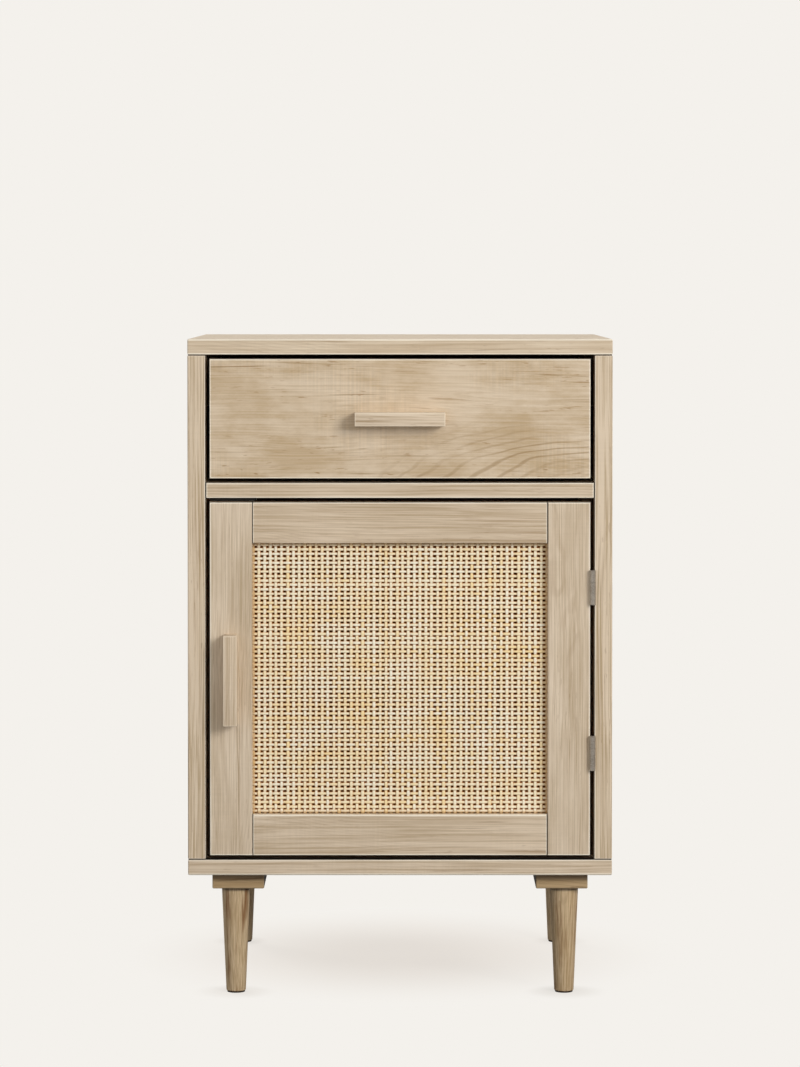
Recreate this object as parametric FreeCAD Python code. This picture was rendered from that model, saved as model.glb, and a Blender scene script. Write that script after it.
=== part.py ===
import FreeCAD, Part
import math
import os

from FreeCAD import Vector

# Nightstand with a drawer on ball slides above a hinged door filled with woven cane, on turned legs.
# Millimetres. X runs to the right, Y from the front to the back and Z up. The origin lies on the
# floor, under the middle of the whole nightstand with its pulls.

# Cabinet boards
case_width = 400.0
case_depth = 350.0
case_height = 506.0
board_thickness = 15.0
side_thickness = 17.0
drawer_bay_height = 120.0
back_thickness = 3.0
back_rebate_width = 8.0
back_rebate_depth = 5.5
arris_ease = 0.8

# Gap that shows all round the drawer front and the door
reveal = 3.4

# Legs and the runners that carry them
leg_length = 99.5
leg_top_diameter = 27.0
leg_foot_diameter = 18.5
leg_foot_chamfer = 0.7
foot_pad_thickness = 1.5
foot_pad_inset = 0.8
runner_thickness = 15.0
runner_width = 49.0
runner_side_setback = 22.2
runner_front_setback = 15.0
runner_back_setback = 10.0
leg_end_inset = 18.0
front_leg_edge_inset = 21.7
rear_leg_edge_inset = 17.1
hanger_bolt_diameter = 8.0
hanger_bolt_leg_depth = 26.0
hanger_bolt_cover = 2.0

# Fasteners and dowels
fit_clearance = 0.1
wood_cover = 4.0
dowel_diameter = 8.0
dowel_end_depth = 20.0
wood_screw_diameter = 3.5
wood_screw_head = 7.0
long_screw_diameter = 5.0
long_screw_head = 9.0
long_screw_end_depth = 32.0
back_screw_diameter = 2.6
back_screw_head = 6.0
back_screw_head_height = 1.8
back_screw_end_depth = 14.0

# Drawer box
drawer_front_thickness = 15.0
drawer_board_thickness = 12.0
drawer_side_lift = 10.0
drawer_side_drop = 15.0
drawer_bottom_thickness = 4.0
drawer_groove_depth = 6.0
drawer_groove_lift = 8.0
drawer_dowel_diameter = 6.0

# Ball slides between the drawer and the cabinet
slide_front_gap = 3.0
slide_back_gap = 26.5
slide_height = 27.0
slide_sheet = 1.0
slide_travel_share = 0.7
slide_end_gap = 4.0
slide_screw_diameter = 3.0
slide_screw_head = 5.6
ball_diameter = 3.8
race_clearance = 0.2
cage_sheet = 0.5
cage_clearance = 0.3
cage_ball_clearance = 0.15

# Pulls: the drawer's lies flat and the door's stands upright
pull_length = 85.0
pull_width = 12.8
pull_projection = 22.0
pull_round = 1.0
pull_screw_inset = 13.0
pull_screw_diameter = 4.0
pull_screw_head = 8.0
pull_screw_head_height = 2.4
pull_screw_depth = 12.0

# Door frame and its woven cane
door_thickness = 18.0
stile_width = 40.3
rail_width = 39.0
tenon_length = 25.0
tenon_thickness = 6.0
tenon_shoulder = 5.0
cane_setback = 9.0
cane_rebate = 9.0
cane_edge_gap = 0.6
strand_thickness = 0.7
strand_gap = 0.1
upright_pitch = 5.45
upright_width = 2.6
cross_pitch = 4.2
cross_width = 2.2

# Butt hinges in the gap on the right
hinge_height = 30.6
hinge_top_drop = 80.5
hinge_bottom_rise = 97.3
hinge_leaf_depth = 14.0
hinge_leaf_gap = 1.0
hinge_barrel_diameter = 5.8
hinge_clearance = 0.25
hinge_pin_diameter = 3.0
hinge_pin_clearance = 0.05
hinge_pin_head_height = 1.2
knuckle_gap = 0.3
hinge_screw_diameter = 3.0
hinge_screw_head = 5.0

# Magnetic catch under the divider, and its strike plate on the door
catch_width = 30.0
catch_depth = 14.0
catch_height = 20.0
catch_side_gap = 3.0
catch_flange_width = 44.0
catch_flange_thickness = 3.0
catch_screw_diameter = 3.0
catch_screw_head = 6.0
catch_screw_head_height = 1.8
magnet_width = 24.0
magnet_height = 10.0
magnet_depth = 9.0
magnet_proud = 0.8
strike_width = 24.0
strike_height = 11.0
strike_thickness = 1.5
strike_spigot_diameter = 5.0
strike_spigot_length = 4.0
catch_gap = 0.4

# Counts and places along a length, as shares of it
dowel_place_shares = (0.14, 0.86)
long_screw_place_shares = (0.3, 0.7)
divider_dowel_place_shares = (0.2, 0.8)
runner_screw_place_shares = (0.3, 0.7)
slide_screw_place_shares = (0.1, 0.5, 0.9)
drawer_dowel_place_shares = (0.35, 0.75)
back_screw_place_shares = (0.06, 0.5, 0.94)
divider_screw_place_shares = (0.25, 0.75)
hinge_screw_place_shares = (0.22, 0.78)
hinge_screw_depth_share = 0.62
catch_screw_place_shares = (0.1, 0.9)
balls_per_row = 5
hinge_knuckles = 3

# Flat sides of what is turned: the legs and pads have many, small repeated pieces and their holes few
leg_sides = 32
fastener_sides = 6
ball_rings = 4

# Cuts run past the face that they open by this much
overrun = 1.0

# Corners this near to a plane lie in it
same_plane = 0.000001

SIDES = {"left": -1, "right": 1}
ENDS = ("front", "rear")
UP = Vector(0, 0, 1)
DOWN = Vector(0, 0, -1)
FORWARD = Vector(0, -1, 0)
BACKWARD = Vector(0, 1, 0)

# Levels of the boards, from the floor up
z_leg_top = foot_pad_thickness + leg_length
z_bottom = z_leg_top + runner_thickness
z_bay_floor = z_bottom + board_thickness
z_top = z_bottom + case_height
z_top_under = z_top - board_thickness
z_divider_top = z_top_under - drawer_bay_height
z_divider_under = z_divider_top - board_thickness

# Places across and along the cabinet
half_width = case_width / 2
inner_half = half_width - side_thickness
front_half = inner_half - reveal
y_front = (pull_projection - case_depth) / 2
y_back = y_front + case_depth
y_back_seat = y_back - back_rebate_depth
x_side_middle = inner_half + side_thickness / 2

# Drawer box and its slides
z_drawer_low = z_divider_top + reveal
z_drawer_high = z_top_under - reveal
z_box_low = z_drawer_low + drawer_side_lift
z_box_high = z_drawer_high - drawer_side_drop
z_slide = (z_box_low + z_box_high) / 2
y_box_front = y_front + drawer_front_thickness
y_slide_front = y_box_front + slide_front_gap
y_slide_back = y_back_seat - slide_back_gap
slide_length = y_slide_back - y_slide_front
y_box_back = y_slide_back
race_inner = ball_diameter / 2 + race_clearance
race_outer = race_inner + slide_sheet
race_depth = slide_sheet + cage_clearance + cage_sheet + cage_clearance + race_outer
race_height = slide_height / 2 - race_outer
slide_thickness = 2 * race_depth
lip_end = cage_sheet / 2 + cage_clearance
box_half = inner_half - slide_thickness
box_inner_half = box_half - drawer_board_thickness

# Door frame and the opening that the cane fills
z_door_low = z_bay_floor + reveal
z_door_high = z_divider_under - reveal
z_door_middle = (z_door_low + z_door_high) / 2
y_door_back = y_front + door_thickness
y_cane = y_front + cane_setback
open_half = front_half - stile_width
z_open_low = z_door_low + rail_width
z_open_high = z_door_high - rail_width
seat_half = open_half + cane_rebate
z_seat_low = z_open_low - cane_rebate
z_seat_high = z_open_high + cane_rebate
cane_thickness = 2 * strand_thickness + strand_gap
x_stile_middle = front_half - stile_width / 2

# Hinge axis: just far enough forward for the barrel to clear both edges of the gap
barrel_radius = hinge_barrel_diameter / 2
leaf_thickness = (reveal - hinge_leaf_gap) / 2
x_hinge = inner_half - reveal / 2
y_hinge = y_front - math.sqrt((barrel_radius + hinge_clearance) ** 2 - (reveal / 2) ** 2)
HINGE_LEVELS = {
    "upper": z_door_high - hinge_top_drop,
    "lower": z_door_low + hinge_bottom_rise,
}

# Catch and strike
x_catch = catch_side_gap + catch_flange_width / 2 - inner_half
y_strike_back = y_door_back + strike_thickness
y_magnet = y_strike_back + catch_gap
y_catch = y_magnet + magnet_proud
z_catch_low = z_divider_under - catch_height
z_magnet = (z_catch_low + z_divider_under - catch_flange_thickness) / 2


def block(xs, ys, zs):
    """Rectangular block between pairs of places on each axis, given in either order."""
    low = Vector(min(xs), min(ys), min(zs))
    high = Vector(max(xs), max(ys), max(zs))
    size = high - low
    return Part.makeBox(size.x, size.y, size.z, low)


def around(middle, size):
    """Pair of places that lie half a size to each side of a middle."""
    return (middle - size / 2, middle + size / 2)


def along(start, end, shares):
    """Places at the given shares of the way from one place to another."""
    return [start + (end - start) * share for share in shares]


def rod(radius, start, end):
    """Plain round rod between two points."""
    run = end - start
    return Part.makeCylinder(radius, run.Length, start, run)


def ring(radius, height, sides):
    """Corners of a ring round the Z axis, or the one point that a ring shrinks to there."""
    if radius == 0:
        return [Vector(0, 0, height)]
    turns = [2 * math.pi * number / sides for number in range(sides)]
    return [Vector(radius * math.cos(turn), radius * math.sin(turn), height) for turn in turns]


def flat_face(corners):
    """Flat face inside a closed row of corners."""
    return Part.Face(Part.makePolygon(corners + [corners[0]]))


def band(below, above):
    """Flat faces between two rings of a turned solid, or the lid where one is the other's middle."""
    if len(below) == len(above):
        count = len(below)
        pairs = [(number, (number + 1) % count) for number in range(count)]
        return [flat_face([below[i], below[j], above[j], above[i]]) for i, j in pairs]
    tip, edge = sorted((below, above), key=len)
    if tip[0].z == edge[0].z:
        return [flat_face(edge)]
    return [flat_face([edge[number - 1], edge[number], tip[0]]) for number in range(len(edge))]


def turned(profile, foot, direction, sides=fastener_sides):
    """Solid turned from (radius, height) points that start and end on the axis, with flat sides.

    It stands on a foot and points along a direction.
    """
    rings = [ring(radius, height, sides) for radius, height in profile]
    faces = [face for pair in zip(rings, rings[1:]) for face in band(*pair)]
    solid = Part.Solid(Part.Shell(faces))
    if solid.Volume < 0:
        solid.reverse()
    solid.Placement = FreeCAD.Placement(foot, FreeCAD.Rotation(UP, direction))
    return solid


def peg(radius, start, end, sides=fastener_sides):
    """Straight turned piece between two points."""
    run = end - start
    return turned([(0, 0), (radius, 0), (radius, run.Length), (0, run.Length)], start, run, sides)


def ball(centre):
    """Few-sided ball."""
    radius = ball_diameter / 2
    turns = [math.pi * number / ball_rings for number in range(1, ball_rings)]
    belt = [(radius * math.sin(turn), -radius * math.cos(turn)) for turn in turns]
    return turned([(0, -radius)] + belt + [(0, radius)], centre, UP)


def edges_on(shape, axis, place):
    """Edges of a shape that lie in the plane where the named axis has the given place."""
    def in_plane(edge):
        return all(math.isclose(getattr(v.Point, axis), place, abs_tol=same_plane) for v in edge.Vertexes)
    return [edge for edge in shape.Edges if in_plane(edge)]


def eased(shape, *planes):
    """Takes off the sharp arrises that lie in the given (axis, place) planes."""
    picked = []
    for axis, place in planes:
        for edge in edges_on(shape, axis, place):
            if not any(edge.isSame(other) for other in picked):
                picked.append(edge)
    return shape.makeChamfer(arris_ease, picked)


class Screw:
    """A screw with a sunk or a raised head, seated at a point and driven along a direction."""

    def __init__(self, shank, head, length, head_height=0):
        self.shank = shank / 2
        self.head = head / 2
        self.length = length
        self.head_height = head_height

    def profile(self, extra):
        """Half outline of the screw, or of its hole when extra room is added."""
        shank = self.shank + extra
        point = self.length + extra
        tip = [(shank, point - self.shank), (0, point)]
        if self.head_height:
            cap = [(0, -self.head_height), (self.head, -self.head_height), (self.head, 0), (shank, 0)]
        else:
            cap = [(0, 0), (self.head + extra, 0), (shank, self.head - self.shank)]
        return cap + tip

    def solid(self, seat, direction):
        """The screw itself."""
        return turned(self.profile(0), seat, direction)

    def hole(self, seat, direction):
        """Room for the screw in what it passes through."""
        return turned(self.profile(fit_clearance), seat, direction)


class Dowel:
    """A wooden pin that bridges a joint, set by the joint and its depth on each side."""

    def __init__(self, diameter, joint, direction, depth_behind, depth_ahead):
        self.radius = diameter / 2
        self.start = joint - direction * depth_behind
        self.end = joint + direction * depth_ahead
        self.direction = direction

    def solid(self):
        """The pin itself."""
        return peg(self.radius, self.start, self.end)

    def hole(self):
        """Room for the pin in both pieces."""
        spare = self.direction * fit_clearance
        return peg(self.radius + fit_clearance, self.start - spare, self.end + spare)


def back_seat_cut():
    """Room for the back panel, sunk into the rear edges of the cabinet's outer boards."""
    reach = inner_half + back_rebate_width
    zs = (z_bay_floor - back_rebate_width, z_top_under + back_rebate_width)
    return block((-reach, reach), (y_back_seat, y_back + overrun), zs)


def carcass_dowels():
    """Dowels between the sides and the top, bottom and divider."""
    dowels = []
    for side in SIDES.values():
        across = Vector(side, 0, 0)
        board_depth = board_thickness - wood_cover
        for y in along(y_front, y_back, dowel_place_shares):
            joints = ((z_top_under, UP), (z_bay_floor, DOWN))
            for z, out in joints:
                joint = Vector(side * x_side_middle, y, z)
                dowels.append(Dowel(dowel_diameter, joint, out, dowel_end_depth, board_depth))
        for y in along(y_front, y_back_seat, divider_dowel_place_shares):
            joint = Vector(side * inner_half, y, z_divider_top - board_thickness / 2)
            side_depth = side_thickness - wood_cover
            dowels.append(Dowel(dowel_diameter, joint, across, dowel_end_depth, side_depth))
    return dowels


def long_screw_seats():
    """Seats of the screws that rise through the bottom panel into the ends of the sides."""
    ys = along(y_front, y_back, long_screw_place_shares)
    return [Vector(side * x_side_middle, y, z_bottom) for side in SIDES.values() for y in ys]


def back_screw_seats():
    """Seats of the small screws that hold the back panel to the sides and the divider."""
    y = y_back_seat + back_thickness
    x_edge = inner_half + back_rebate_width / 2
    seats = []
    for z in along(z_bay_floor, z_top_under, back_screw_place_shares):
        seats += [Vector(side * x_edge, y, z) for side in SIDES.values()]
    for x in along(-inner_half, inner_half, divider_screw_place_shares):
        seats.append(Vector(x, y, z_divider_top - board_thickness / 2))
    return seats


def runner_xs(side):
    """Outer and inner edge of the leg runner on one side."""
    outer = half_width - runner_side_setback
    return (side * outer, side * (outer - runner_width))


def runner_ys():
    """Front and rear end of a leg runner."""
    return (y_front + runner_front_setback, y_back - runner_back_setback)


def leg_axis(side, end):
    """Point on the floor under one leg."""
    y_start, y_end = runner_ys()
    outer = half_width - runner_side_setback
    if end == "front":
        return Vector(side * (outer - front_leg_edge_inset), y_start + leg_end_inset, 0)
    return Vector(side * (outer - rear_leg_edge_inset), y_end - leg_end_inset, 0)


def runner_screw_seats(side):
    """Seats of the screws that hold a leg runner up to the bottom panel."""
    x = sum(runner_xs(side)) / 2
    return [Vector(x, y, z_leg_top) for y in along(*runner_ys(), runner_screw_place_shares)]


def hanger_bolt(side, end, extra):
    """Bolt that joins a leg to its runner, or its hole with extra room."""
    axis = leg_axis(side, end)
    low = axis + UP * (z_leg_top - hanger_bolt_leg_depth - extra)
    high = axis + UP * (z_bottom - hanger_bolt_cover + extra)
    return peg(hanger_bolt_diameter / 2 + extra, low, high)


def slide_x(side, depth):
    """Place across the cabinet of a depth into a slide, from the cabinet's side towards the drawer."""
    return side * (inner_half - depth)


def slide_screw_seats(side, depth):
    """Seats of the screws through the web of one slide rail."""
    ys = along(y_slide_front, y_slide_back, slide_screw_place_shares)
    return [Vector(slide_x(side, depth), y, z_slide) for y in ys]


def rail(side, wall, inward, web_half):
    """Rolled slide rail: a web on its wall, and two flanges that curl round the rows of balls.

    Depths count from the wall along inward, and a flange's places count outwards from the row of
    balls on the cabinet's rail and inwards from it on the drawer's rail.
    """
    ys = (y_slide_front, y_slide_back)

    def x(depth):
        return slide_x(side, wall + inward * depth)

    shape = block((x(0), x(slide_sheet)), ys, around(z_slide, 2 * web_half))
    for row in (-1, 1):
        def z(out):
            return z_slide + row * (race_height + inward * out)

        centre = Vector(x(race_depth), y_slide_front, z(0))
        run = Vector(0, slide_length, 0)
        curl = rod(race_outer, centre, centre + run).cut(rod(race_inner, centre, centre + run))
        corner = block((x(race_depth), x(race_depth + race_outer)), ys, (z(lip_end), z(race_outer)))
        flange = block((x(0), x(race_depth)), ys, (z(race_inner), z(race_outer)))
        shape = shape.fuse([flange, curl.common(corner)])
    return shape.removeSplitter()


def ball_centres(side):
    """Middles of the balls in the two rows of one slide."""
    length = slide_length * (1 - slide_travel_share) - 2 * slide_end_gap
    middle = (y_slide_front + y_slide_back) / 2
    pitch = length / balls_per_row
    ys = [middle + (number - (balls_per_row - 1) / 2) * pitch for number in range(balls_per_row)]
    x = slide_x(side, race_depth)
    return [Vector(x, y, z_slide + row * race_height) for row in (-1, 1) for y in ys]


def ball_cage(side):
    """Thin strip with turned-in edges, drilled for the balls, that runs between the two rails."""
    length = slide_length * (1 - slide_travel_share) - 2 * slide_end_gap
    ys = around((y_slide_front + y_slide_back) / 2, length)
    outer = slide_sheet + cage_clearance
    web_xs = (slide_x(side, outer), slide_x(side, outer + cage_sheet))
    edge_xs = (slide_x(side, outer), slide_x(side, race_depth + race_outer))
    shape = block(web_xs, ys, around(z_slide, 2 * race_height + cage_sheet))
    edges = [block(edge_xs, ys, around(z_slide + row * race_height, cage_sheet)) for row in (-1, 1)]
    shape = shape.fuse(edges).removeSplitter()
    reach = UP * cage_sheet
    hole = ball_diameter / 2 + cage_ball_clearance
    return shape.cut([peg(hole, c - reach, c + reach) for c in ball_centres(side)])


def drawer_bottom_block(extra):
    """Drawer bottom, or the grooves that hold it with extra room."""
    x = box_inner_half + drawer_groove_depth - fit_clearance + extra
    y_low = y_box_front - drawer_groove_depth + fit_clearance - extra
    y_high = y_box_back - drawer_board_thickness + drawer_groove_depth - fit_clearance + extra
    z_low = z_box_low + drawer_groove_lift - extra
    z_high = z_box_low + drawer_groove_lift + drawer_bottom_thickness + extra
    return block((-x, x), (y_low, y_high), (z_low, z_high))


def drawer_dowels():
    """Dowels at the four upright corners of the drawer box."""
    dowels = []
    y_rear = y_box_back - drawer_board_thickness / 2
    board_depth = drawer_board_thickness - wood_cover
    for side in SIDES.values():
        across = Vector(side, 0, 0)
        for z in along(z_box_low, z_box_high, drawer_dowel_place_shares):
            front = Vector(side * (box_half - drawer_board_thickness / 2), y_box_front, z)
            front_depth = drawer_front_thickness - wood_cover
            dowels.append(Dowel(drawer_dowel_diameter, front, FORWARD, dowel_end_depth, front_depth))
            rear = Vector(side * box_inner_half, y_rear, z)
            dowels.append(Dowel(drawer_dowel_diameter, rear, across, dowel_end_depth, board_depth))
    return dowels


def pull(middle, size):
    """Plain wooden bar with softened edges that stands on a front at the middle of its back face."""
    xs = around(middle.x, size.x)
    zs = around(middle.z, size.z)
    bar = block(xs, (middle.y - pull_projection, middle.y), zs)
    resting = edges_on(bar, "y", middle.y)
    free = [e for e in bar.Edges if not any(e.isSame(other) for other in resting)]
    return bar.makeFillet(pull_round, free)


def pull_screw_offsets(direction):
    """Offsets of a pull's two screws from its middle, along the bar."""
    reach = pull_length / 2 - pull_screw_inset
    return [direction * reach, direction * -reach]


def cane_seat_cut():
    """Rebate that the cane and its beads lie in, open to the back of the door."""
    return block((-seat_half, seat_half), (y_cane, y_door_back + overrun), (z_seat_low, z_seat_high))


def tenon(side, level, extra):
    """Tongue at one end of the top or bottom rail, or its mortise in the stile with extra room.

    It stays clear of the cane's rebate and of the door's outer edge.
    """
    z_low = z_seat_high + tenon_shoulder / 2
    z_high = z_door_high - tenon_shoulder
    if level == "bottom":
        z_low = z_door_low + tenon_shoulder
        z_high = z_seat_low - tenon_shoulder / 2
    xs = (side * open_half, side * (open_half + tenon_length + extra))
    ys = around(y_front + door_thickness / 2, tenon_thickness + 2 * extra)
    return block(xs, ys, (z_low - extra, z_high + extra))


def strands(span, pitch, width, make):
    """Evenly spaced flat strands, as many as a span takes, centred across it."""
    count = int((span - width) / pitch) + 1
    first = -pitch * (count - 1) / 2
    return Part.makeCompound([make(around(first + number * pitch, width)) for number in range(count)])


def cane_layers():
    """Upright strands against the frame's shoulder, and the cross strands behind them."""
    x_reach = seat_half - cane_edge_gap
    z_low = z_seat_low + cane_edge_gap
    z_high = z_seat_high - cane_edge_gap
    z_middle = (z_low + z_high) / 2
    y_cross = y_cane + strand_thickness + strand_gap

    def upright(xs):
        return block(xs, (y_cane, y_cane + strand_thickness), (z_low, z_high))

    def cross(offsets):
        zs = [z_middle + offset for offset in offsets]
        return block((-x_reach, x_reach), (y_cross, y_cross + strand_thickness), zs)

    uprights = strands(2 * x_reach, upright_pitch, upright_width, upright)
    crosses = strands(z_high - z_low, cross_pitch, cross_width, cross)
    return uprights, crosses


def cane_beads():
    """Four mitred strips that press the edges of the cane into the rebate."""
    y_low = y_cane + cane_thickness
    run = Vector(0, y_door_back - y_low, 0)
    outer_x = seat_half - fit_clearance
    outer_low = z_seat_low + fit_clearance
    outer_high = z_seat_high - fit_clearance
    miter = fit_clearance
    outlines = []
    for side in (-1, 1):
        outlines.append([
            (side * outer_x, outer_low + miter), (side * open_half, z_open_low + miter),
            (side * open_half, z_open_high - miter), (side * outer_x, outer_high - miter),
        ])
    for outer_z, inner_z in ((outer_low, z_open_low), (outer_high, z_open_high)):
        outlines.append([
            (miter - outer_x, outer_z), (outer_x - miter, outer_z),
            (open_half - miter, inner_z), (miter - open_half, inner_z),
        ])
    beads = []
    for outline in outlines:
        points = [Vector(x, y_low, z) for x, z in outline]
        beads.append(Part.Face(Part.makePolygon(points + [points[0]])).extrude(run))
    return Part.makeCompound(beads)


def knuckle_zs(z_middle, owner):
    """Height of each knuckle of one leaf: they alternate, and the cabinet's leaf has both ends."""
    pitch = hinge_height / hinge_knuckles
    z_low = z_middle - hinge_height / 2
    first = 0 if owner == "cabinet" else 1
    spans = []
    for number in range(first, hinge_knuckles, 2):
        low = z_low + number * pitch
        spans.append((low + knuckle_gap / 2, low + pitch - knuckle_gap / 2))
    return spans


def hinge_rod(radius, z_low, z_high):
    """Round rod on the hinge axis."""
    return rod(radius, Vector(x_hinge, y_hinge, z_low), Vector(x_hinge, y_hinge, z_high))


def hinge_leaf(z_middle, owner):
    """Leaf of a butt hinge with its share of the knuckles, bored for the pin and its screws."""
    xs = (inner_half - leaf_thickness, inner_half)
    other = "door"
    if owner == "door":
        xs = (front_half, front_half + leaf_thickness)
        other = "cabinet"
    zs = around(z_middle, hinge_height - knuckle_gap)
    plate = block(xs, (y_hinge, y_front + hinge_leaf_depth), zs)
    room = barrel_radius + hinge_clearance
    reliefs = [
        hinge_rod(room, low - knuckle_gap, high + knuckle_gap) for low, high in knuckle_zs(z_middle, other)
    ]
    rolls = [hinge_rod(barrel_radius, low, high) for low, high in knuckle_zs(z_middle, owner)]
    leaf = plate.cut(reliefs).fuse(rolls)
    bore_radius = hinge_pin_diameter / 2 + hinge_pin_clearance
    bore = hinge_rod(bore_radius, z_middle - hinge_height, z_middle + hinge_height)
    holes = [hinge_screw.hole(seat, way) for seat, way in hinge_screw_seats(z_middle, owner)]
    return leaf.cut([bore] + holes).removeSplitter()


def hinge_pin(z_middle):
    """Pin with a flat head at each end of the barrel."""
    seat = (hinge_height - knuckle_gap) / 2
    pin = hinge_rod(hinge_pin_diameter / 2, z_middle - seat, z_middle + seat)
    low_head = hinge_rod(barrel_radius, z_middle - seat - hinge_pin_head_height, z_middle - seat)
    high_head = hinge_rod(barrel_radius, z_middle + seat, z_middle + seat + hinge_pin_head_height)
    return pin.fuse([low_head, high_head])


def hinge_screw_seats(z_middle, owner):
    """Seat and direction of each screw of one leaf."""
    y = y_front + hinge_leaf_depth * hinge_screw_depth_share
    x = inner_half - leaf_thickness
    way = Vector(1, 0, 0)
    if owner == "door":
        x = front_half + leaf_thickness
        way = Vector(-1, 0, 0)
    zs = along(*around(z_middle, hinge_height), hinge_screw_place_shares)
    return [(Vector(x, y, z), way) for z in zs]


def all_hinge_screw_seats(owner):
    """Seats and directions of the screws of both hinges on one side of the gap."""
    return [place for z in HINGE_LEVELS.values() for place in hinge_screw_seats(z, owner)]


def catch_screw_seats():
    """Seats of the two screws that hold the catch up to the divider."""
    z = z_divider_under - catch_flange_thickness
    y = y_catch + catch_depth / 2
    xs = along(*around(x_catch, catch_flange_width), catch_screw_place_shares)
    return [Vector(x, y, z) for x in xs]


long_screw = Screw(long_screw_diameter, long_screw_head, board_thickness + long_screw_end_depth)
runner_screw = Screw(wood_screw_diameter, wood_screw_head, runner_thickness + board_thickness - wood_cover)
back_screw = Screw(
    back_screw_diameter, back_screw_head, back_thickness + back_screw_end_depth, back_screw_head_height
)
cabinet_rail_screw = Screw(
    slide_screw_diameter, slide_screw_head, slide_sheet + side_thickness - wood_cover
)
drawer_rail_screw = Screw(
    slide_screw_diameter, slide_screw_head, slide_sheet + drawer_board_thickness - wood_cover
)
hinge_screw = Screw(hinge_screw_diameter, hinge_screw_head, leaf_thickness + side_thickness - wood_cover)
catch_screw = Screw(
    catch_screw_diameter,
    catch_screw_head,
    catch_flange_thickness + board_thickness - wood_cover,
    catch_screw_head_height,
)
drawer_pull_screw = Screw(
    pull_screw_diameter, pull_screw_head, drawer_front_thickness + pull_screw_depth, pull_screw_head_height
)
door_pull_screw = Screw(
    pull_screw_diameter, pull_screw_head, door_thickness + pull_screw_depth, pull_screw_head_height
)


def cabinet_boards():
    """Top, bottom, sides, divider and back of the cabinet, with their joinery."""
    dowel_holes = [dowel.hole() for dowel in carcass_dowels()]
    long_holes = [long_screw.hole(seat, UP) for seat in long_screw_seats()]
    runner_holes = [
        runner_screw.hole(seat, UP) for side in SIDES.values() for seat in runner_screw_seats(side)
    ]
    back_holes = [back_screw.hole(seat, FORWARD) for seat in back_screw_seats()]
    back_seat = back_seat_cut()
    full_xs = (-half_width, half_width)
    full_ys = (y_front, y_back)

    top = block(full_xs, full_ys, (z_top_under, z_top))
    top = eased(top, ("z", z_top), ("y", y_front), ("x", -half_width), ("x", half_width))
    bottom = block(full_xs, full_ys, (z_bottom, z_bay_floor))
    bottom = eased(bottom, ("y", y_front), ("x", -half_width), ("x", half_width))
    divider_ys = (y_front, y_back_seat)
    divider = block((-inner_half, inner_half), divider_ys, (z_divider_under, z_divider_top))
    divider = eased(divider, ("y", y_front))
    catch_holes = [catch_screw.hole(seat, UP) for seat in catch_screw_seats()]
    back_reach = inner_half + back_rebate_width - fit_clearance
    back_low = z_bay_floor - back_rebate_width + fit_clearance
    back_high = z_top_under + back_rebate_width - fit_clearance
    back_ys = (y_back_seat, y_back_seat + back_thickness)
    back = block((-back_reach, back_reach), back_ys, (back_low, back_high))
    nodes = {
        "top_panel": top.cut([back_seat] + dowel_holes),
        "bottom_panel": bottom.cut([back_seat] + dowel_holes + long_holes + runner_holes),
        "divider_panel": divider.cut(dowel_holes + catch_holes + back_holes),
        "back_panel": back.cut(back_holes),
    }
    for name, side in SIDES.items():
        outer = side * half_width
        board = block((side * inner_half, outer), full_ys, (z_bay_floor, z_top_under))
        board = eased(board, ("y", y_front), ("x", outer))
        rail_holes = [
            cabinet_rail_screw.hole(seat, Vector(side, 0, 0)) for seat in slide_screw_seats(side, slide_sheet)
        ]
        cuts = [back_seat] + dowel_holes + long_holes + back_holes + rail_holes
        if name == "right":
            cuts += [hinge_screw.hole(seat, way) for seat, way in all_hinge_screw_seats("cabinet")]
        nodes[name + "_side_panel"] = board.cut(cuts)
    return nodes


def cabinet_fasteners():
    """Dowels and screws that hold the boards together."""
    return {
        "carcass_dowels": Part.makeCompound([dowel.solid() for dowel in carcass_dowels()]),
        "bottom_panel_screws": Part.makeCompound([long_screw.solid(s, UP) for s in long_screw_seats()]),
        "back_panel_screws": Part.makeCompound([back_screw.solid(s, FORWARD) for s in back_screw_seats()]),
    }


def leg(side, end):
    """Round leg that tapers to its foot, bored at the top for its bolt."""
    top = leg_top_diameter / 2
    foot = leg_foot_diameter / 2
    outline = [(0, 0), (foot - leg_foot_chamfer, 0), (foot, leg_foot_chamfer)]
    outline += [(top, leg_length), (0, leg_length)]
    shape = turned(outline, leg_axis(side, end) + UP * foot_pad_thickness, UP, leg_sides)
    return shape.cut(hanger_bolt(side, end, fit_clearance))


def base_nodes():
    """Leg runners, legs, their bolts and screws, and the pads under the feet."""
    nodes = {}
    pad_radius = leg_foot_diameter / 2 - foot_pad_inset
    bolts = []
    pads = []
    screws = []
    for name, side in SIDES.items():
        y_start, y_end = runner_ys()
        runner = block(runner_xs(side), (y_start, y_end), (z_leg_top, z_bottom))
        runner = eased(runner, ("z", z_leg_top), ("y", y_start))
        cuts = [runner_screw.hole(seat, UP) for seat in runner_screw_seats(side)]
        cuts += [hanger_bolt(side, end, fit_clearance) for end in ENDS]
        nodes[name + "_leg_runner"] = runner.cut(cuts)
        screws += [runner_screw.solid(seat, UP) for seat in runner_screw_seats(side)]
        for end in ENDS:
            nodes[end + "_" + name + "_leg"] = leg(side, end)
            bolts.append(hanger_bolt(side, end, 0))
            axis = leg_axis(side, end)
            pads.append(peg(pad_radius, axis, axis + UP * foot_pad_thickness, leg_sides))
    nodes["leg_runner_screws"] = Part.makeCompound(screws)
    nodes["leg_hanger_bolts"] = Part.makeCompound(bolts)
    nodes["foot_pads"] = Part.makeCompound(pads)
    return nodes


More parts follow.
